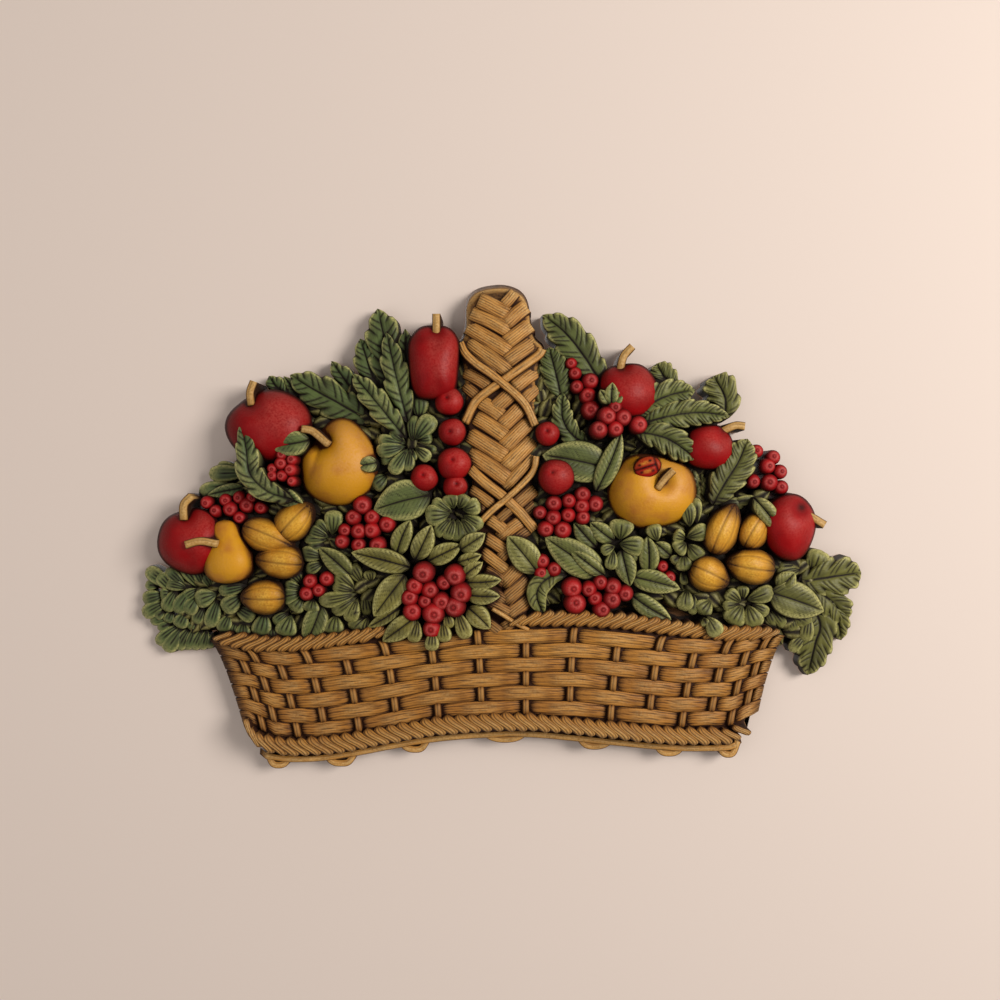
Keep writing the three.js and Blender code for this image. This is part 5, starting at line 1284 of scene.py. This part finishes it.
def paintedResin(name, look):
    # moulded resin painted by hand: a coloured coat, a dark wash left in the hollows with painted shade laid there
    # too, and a dry brush over the crests
    material = bpy.data.materials.new(name)
    material.use_nodes = True
    tree = material.node_tree
    shader = tree.nodes["Principled BSDF"]
    read = {name: addNode(tree, "ShaderNodeAttribute", {"attribute_name": name}).outputs["Fac"]
            for name in ("tone", "hue", "light", "crest", "washAndShade", "hollow")}
    where = addNode(tree, "ShaderNodeTexCoord").outputs["Object"]
    grain = addNode(tree, "ShaderNodeAttribute", {"attribute_name": "grain"}).outputs["Vector"]
    cloud = addNode(tree, "ShaderNodeTexNoise", {"Scale": 1000 / look["cloudSize"], "Detail": 3.0}, {"Vector": where})
    speck = addNode(tree, "ShaderNodeTexNoise", {"Scale": 1000 / look["speckSize"], "Detail": 2.0}, {"Vector": where})
    drawn = addNode(tree, "ShaderNodeMapping", {"Scale": look["grainScale"]}, {"Vector": grain})
    streak = addNode(tree, "ShaderNodeTexNoise", {"Scale": 1.0, "Detail": 2.0}, {"Vector": drawn.outputs[0]})

    # what the layers cover: another hue, clouds of a darker tint and fine streaks, then a dry brush on what stands
    # out, which on the fruit is a painted highlight, broken up by specks, and a dark wash in the cuts and hollows,
    # which also lays painted shade where parts meet and in the hollows
    # the light channel is the dry brush on rims and crests, and on the fruit a painted highlight
    edge = addNode(tree, "ShaderNodeMath", {"operation": "MULTIPLY", 1: look["lightShare"]}, {0: read["light"]})
    brushAndHighlight = addNode(tree, "ShaderNodeMath", {"operation": "MULTIPLY_ADD", 1: look["crestShare"]},
                    {0: read["crest"], 2: edge.outputs[0]})
    broken = addNode(tree, "ShaderNodeMapRange", {"From Min": 0.3, "From Max": 0.6, "To Min": 0.25},
                     {"Value": speck.outputs["Fac"]})
    cut = addNode(tree, "ShaderNodeMath", {"operation": "MULTIPLY", 1: look["washAndShadeShare"]}, {0: read["washAndShade"]})
    darkWashAndShade = addNode(tree, "ShaderNodeMath", {"operation": "MULTIPLY_ADD", 1: look["hollowShare"]},
                   {0: read["hollow"], 2: cut.outputs[0]})
    patchy = addNode(tree, "ShaderNodeMapRange", {"To Min": 0.65, "To Max": 1.35}, {"Value": speck.outputs["Fac"]})
    uneven = addNode(tree, "ShaderNodeMath", {"operation": "MULTIPLY", "use_clamp": True},
                     {0: darkWashAndShade.outputs[0], 1: patchy.outputs[0]})
    place = addNode(tree, "ShaderNodeSeparateXYZ", links={0: where})
    hue = addNode(tree, "ShaderNodeMath", {"operation": "MULTIPLY", 1: look["hueShare"]}, {0: read["hue"]})
    patch = addNode(tree, "ShaderNodeMapRange", {"From Min": 0.45, "From Max": 0.68, "To Max": look["cloudShare"]},
                    {"Value": cloud.outputs["Fac"]})
    streaks = addNode(tree, "ShaderNodeMapRange", {"From Min": 0.46, "From Max": 0.64, "To Max": look["streakShare"]},
                      {"Value": streak.outputs["Fac"]})
    brushAndHighlightMask = addNode(tree, "ShaderNodeMath", {"operation": "MULTIPLY", "use_clamp": True},
                       {0: brushAndHighlight.outputs[0], 1: broken.outputs[0]})
    # the back and the last millimetre before the wall are plain brown
    behind = addNode(tree, "ShaderNodeMapRange", {"From Min": -0.0016, "From Max": -0.0011},
                     {"Value": place.outputs["Y"]})
    layers = (("hueColour", hue), ("cloudColour", patch), ("washAndShadeColour", streaks), ("brushAndHighlightColour", brushAndHighlightMask),
              ("washAndShadeColour", uneven), ("backColour", behind))
    colour = addNode(tree, "ShaderNodeMix", {"data_type": "RGBA", 6: linearColour(look["coat"][0]),
                                             7: linearColour(look["coat"][1])}, {0: read["tone"]})
    for key, share in layers:
        colour = addNode(tree, "ShaderNodeMix", {"data_type": "RGBA", 7: linearColour(look[key])},
                         {0: share.outputs[0], 6: colour.outputs[2]})
    tree.links.new(colour.outputs[2], shader.inputs["Base Color"])

    rough = addNode(tree, "ShaderNodeMapRange", {"To Min": look["roughness"][0], "To Max": look["roughness"][1]},
                    {"Value": uneven.outputs[0]})
    tree.links.new(rough.outputs[0], shader.inputs["Roughness"])
    relieved = addNode(tree, "ShaderNodeMath", {"operation": "MULTIPLY_ADD", 1: look["streakBump"]},
                       {0: streak.outputs["Fac"], 2: speck.outputs["Fac"]})
    bump = addNode(tree, "ShaderNodeBump", {"Strength": look["bump"], "Distance": look["bumpDepth"]},
                   {"Height": relieved.outputs[0]})
    tree.links.new(bump.outputs[0], shader.inputs["Normal"])
    shader.inputs["IOR"].default_value = look["ior"]
    shader.inputs["Specular IOR Level"].default_value = look["gloss"]
    return material


# What the layers share. The sizes are in millimetres: brush clouds are about as wide as a thumb. Real specks of dry
# paint and real streaks of cane grain are some tenths of a millimetre wide, too fine to show, so the specks are drawn
# at 1.6 mm and the streaks 1.1 mm apart (grainScale is one over their length and their width).
plainLook = {
    "cloudSize": 18, "speckSize": 1.6, "grainScale": (0.06, 0.9, 1), "cloudShare": 0.4, "streakShare": 0.25,
    "hueShare": 0.5, "lightShare": 0.5, "crestShare": 0.35, "washAndShadeShare": 1.0, "hollowShare": 1.6, "streakBump": 0.6,
    "roughness": (0.5, 0.8), "bump": 0.45, "bumpDepth": 0.0004, "gloss": 0.25, "ior": 1.5,
    "backColour": "#7A5A3C",
}
caneLook = plainLook | {
    "coat": ("#C68A3A", "#B67A30"), "hueColour": "#93592A", "cloudColour": "#96602C", "washAndShadeColour": "#321707",
    "brushAndHighlightColour": "#E6BE7C", "hueShare": 0.35, "streakShare": 0.6, "streakBump": 1.8, "roughness": (0.5, 0.75),
    "hollowShare": 1.15,
}
leafLook = plainLook | {
    "coat": ("#566A3C", "#3F5936"), "hueColour": "#83702A", "cloudColour": "#3A3A20", "washAndShadeColour": "#170E06",
    "brushAndHighlightColour": "#C9C27C", "hueShare": 0.8, "cloudShare": 0.55, "roughness": (0.45, 0.75), "lightShare": 0.6,
    "crestShare": 0.3, "hollowShare": 1.5, "washAndShadeShare": 1.1,
}
# the leaf paint made darker, as painted shade for the small leaves lying under the others
shadedUnderLook = leafLook | {"coat": ("#434526", "#33391F"), "crestShare": 0.1, "lightShare": 0.4, "hollowShare": 1.1}
redLook = plainLook | {
    "coat": ("#A00A0E", "#8E090E"), "hueColour": "#A50D12", "cloudColour": "#6A080A", "washAndShadeColour": "#360A08",
    "brushAndHighlightColour": "#C8584E", "cloudShare": 0.55, "lightShare": 0.25, "crestShare": 0.12, "streakShare": 0.0,
    "roughness": (0.42, 0.65), "gloss": 0.12,
}
goldLook = plainLook | {
    "coat": ("#D6981C", "#C98A18"), "hueColour": "#C88C1C", "cloudColour": "#A8602C", "washAndShadeColour": "#4A220A",
    "brushAndHighlightColour": "#D89C5C", "cloudShare": 0.65, "lightShare": 0.45, "crestShare": 0.1, "streakShare": 0.0,
    "roughness": (0.45, 0.65), "gloss": 0.18,
}
nutLook = plainLook | {
    "coat": ("#C98A1E", "#B6761A"), "hueColour": "#CC8E2A", "cloudColour": "#905A20", "washAndShadeColour": "#351A08",
    "brushAndHighlightColour": "#E4B040", "roughness": (0.45, 0.7),
}
berryLook = redLook | {
    "coat": ("#B01216", "#9C0E14"), "brushAndHighlightColour": "#CC6660", "lightShare": 0.6, "washAndShadeShare": 0.9, "hollowShare": 1.3,
}
moundLook = plainLook | {
    "coat": ("#2C170B", "#24130A"), "hueColour": "#7A5028", "cloudColour": "#1B1008", "washAndShadeColour": "#150B05",
    "brushAndHighlightColour": "#5A3A20", "hueShare": 1.0, "roughness": (0.7, 0.85),
}
stemLook = caneLook | {"coat": ("#B98A3C", "#A87830"), "streakShare": 0.3}
ladybirdLook = redLook | {"brushAndHighlightColour": "#D9A23A", "lightShare": 0.9, "washAndShadeColour": "#2A0A06"}
caneFinish = paintedResin("painted wicker brown", caneLook)       # golden tan canes with dark brown left between them
leafFinish = paintedResin("painted sage green", leafLook)         # greens with cream rims and nearly black gaps
shadedUnderFinish = paintedResin("painted dark green shade", shadedUnderLook)       # painted shade: a darker copy of the leaf paint for the small leaves in the shade of the others
redFinish = paintedResin("painted apple red", redLook)            # a slightly glossy red that goes maroon at the edges, with a pinkish painted highlight up to the right
berryFinish = paintedResin("painted berry red", berryLook)        # the same red, dustier round the eyes
goldFinish = paintedResin("painted gold yellow", goldLook)        # ochre yellow, with a pinkish brown painted highlight up to the right
nutFinish = paintedResin("painted nut ochre", nutLook)            # matt ochre with brown seams
stemFinish = paintedResin("painted stem ochre", stemLook)         # woody ochre, streaked along the stem
ladybirdFinish = paintedResin("painted ladybird red", ladybirdLook)       # red wings edged with gold
moundFinish = paintedResin("antique brown ground", moundLook)     # the dark ground seen between the leaves

weave, rod, handlePiece = buildWeave(), buildFootRod(), buildHandle()
print("basket and handle carved")
leavesLeft, leavesRight = buildLeaves()
print("leaves carved")
reds = carvedPiece("red_apples", addApples(newCarving(), redApples))
golds = addApples(newCarving(), goldApples, 0.2)
addPear(golds)
goldPiece = carvedPiece("gold_apples_and_pear", golds)
crabs, nutPiece, stemPiece = buildCrabApples(), buildNuts(), buildStems()
bug, mound = buildLadybird(), buildMound()
print("fruit carved")
twist, placed = ropeTree(), placedTree()
ropes = [buildRope("top_rope", topRope, twist, caneFinish), buildRope("foot_rope", footRope, twist, caneFinish)]
berryPieces = buildBerries(placed, berryFinish)
undergrowth = buildUnderLeaves(placed, shadedUnderFinish)
print("ropes and berries laid")

# the pieces laid by node trees already have their finish
finishes = {
    weave: caneFinish, rod: caneFinish, handlePiece: caneFinish, ropes[0]: None, ropes[1]: None,
    leavesLeft: leafFinish, leavesRight: leafFinish, undergrowth: None, reds: redFinish, goldPiece: goldFinish,
    crabs: redFinish, berryPieces: None, nutPiece: nutFinish, stemPiece: stemFinish, bug: ladybirdFinish,
    mound: moundFinish,
}
markHollows(list(finishes))
print("hollows marked")
for piece, finish in finishes.items():
    if finish:
        piece.data.materials.append(finish)
    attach(piece, "root")
    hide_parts("basket_plaque")
    print(piece.name, len(piece.data.polygons), "faces")


wall = {"wide": 14, "gap": 0.0005, "colour": "#E2D3C9", "roughness": 0.95}


def buildWall():
    half = wall["wide"] / 2
    mesh = bpy.data.meshes.new("studio wall")
    corners = [[x * half, wall["gap"], z * half] for x, z in ((-1, -1), (1, -1), (1, 1), (-1, 1))]
    mesh.from_pydata(corners, [], [[0, 1, 2, 3]])
    piece = newObject("studio_wall", mesh)
    material = bpy.data.materials.new("matt studio wall")        # seen from the front only
    material.use_nodes = True
    tree = material.node_tree
    shader = tree.nodes["Principled BSDF"]
    shader.inputs["Base Color"].default_value = linearColour(wall["colour"])
    shader.inputs["Roughness"].default_value = wall["roughness"]
    clear = addNode(tree, "ShaderNodeBsdfTransparent")
    side = addNode(tree, "ShaderNodeNewGeometry")
    both = addNode(tree, "ShaderNodeMixShader",
                   links={0: side.outputs["Backfacing"], 1: shader.outputs[0], 2: clear.outputs[0]})
    tree.links.new(both.outputs[0], tree.nodes["Material Output"].inputs["Surface"])
    mesh.materials.append(material)
    piece.visible_shadow = False         # so that a lamp behind can light the back


studio = {
    "camera": [0, -0.680, -0.128],
    "lens": 29.7,
    "aim": [0, 0, -0.15],
    "lights": [
        {"name": "key", "at": [1.5, -1.5, 0.35], "size": 0.9, "watts": 42, "colour": "#FFFAF4"},
        {"name": "fill", "at": [-1.2, -1.6, -0.2], "size": 1.6, "watts": 7, "colour": "#FFFAF6"},
        {"name": "behind", "at": [-0.7, 1.9, 0.5], "size": 1.4, "watts": 26, "colour": "#FFFAF6"},
    ],
    "world": "#FFF9F4",
    "worldStrength": 0.28,
}


def buildStudio():
    scene = bpy.context.scene
    data = bpy.data.cameras.new("camera")
    data.lens = studio["lens"]
    scene.camera = newObject("camera", data)
    scene.camera.location = studio["camera"]
    scene.camera.rotation_euler = (math.pi / 2, 0, 0)
    for light in studio["lights"]:
        lamp = bpy.data.lights.new(light["name"], "AREA")
        lamp.size = light["size"]
        lamp.energy = light["watts"]
        lamp.color = linearColour(light["colour"])[:3]
        holder = newObject(light["name"], lamp)
        holder.location = light["at"]
        towards = np.array(studio["aim"]) - np.array(light["at"])
        flat = math.hypot(towards[0], towards[1])
        holder.rotation_euler = (math.pi / 2 + math.atan2(towards[2], flat), 0, math.atan2(-towards[0], towards[1]))
    world = bpy.data.worlds.new("studio")
    world.use_nodes = True
    background = world.node_tree.nodes["Background"]
    background.inputs["Color"].default_value = linearColour(studio["world"])
    background.inputs["Strength"].default_value = studio["worldStrength"]
    scene.world = world
    scene.view_settings.view_transform = "Standard"


buildWall()
buildStudio()
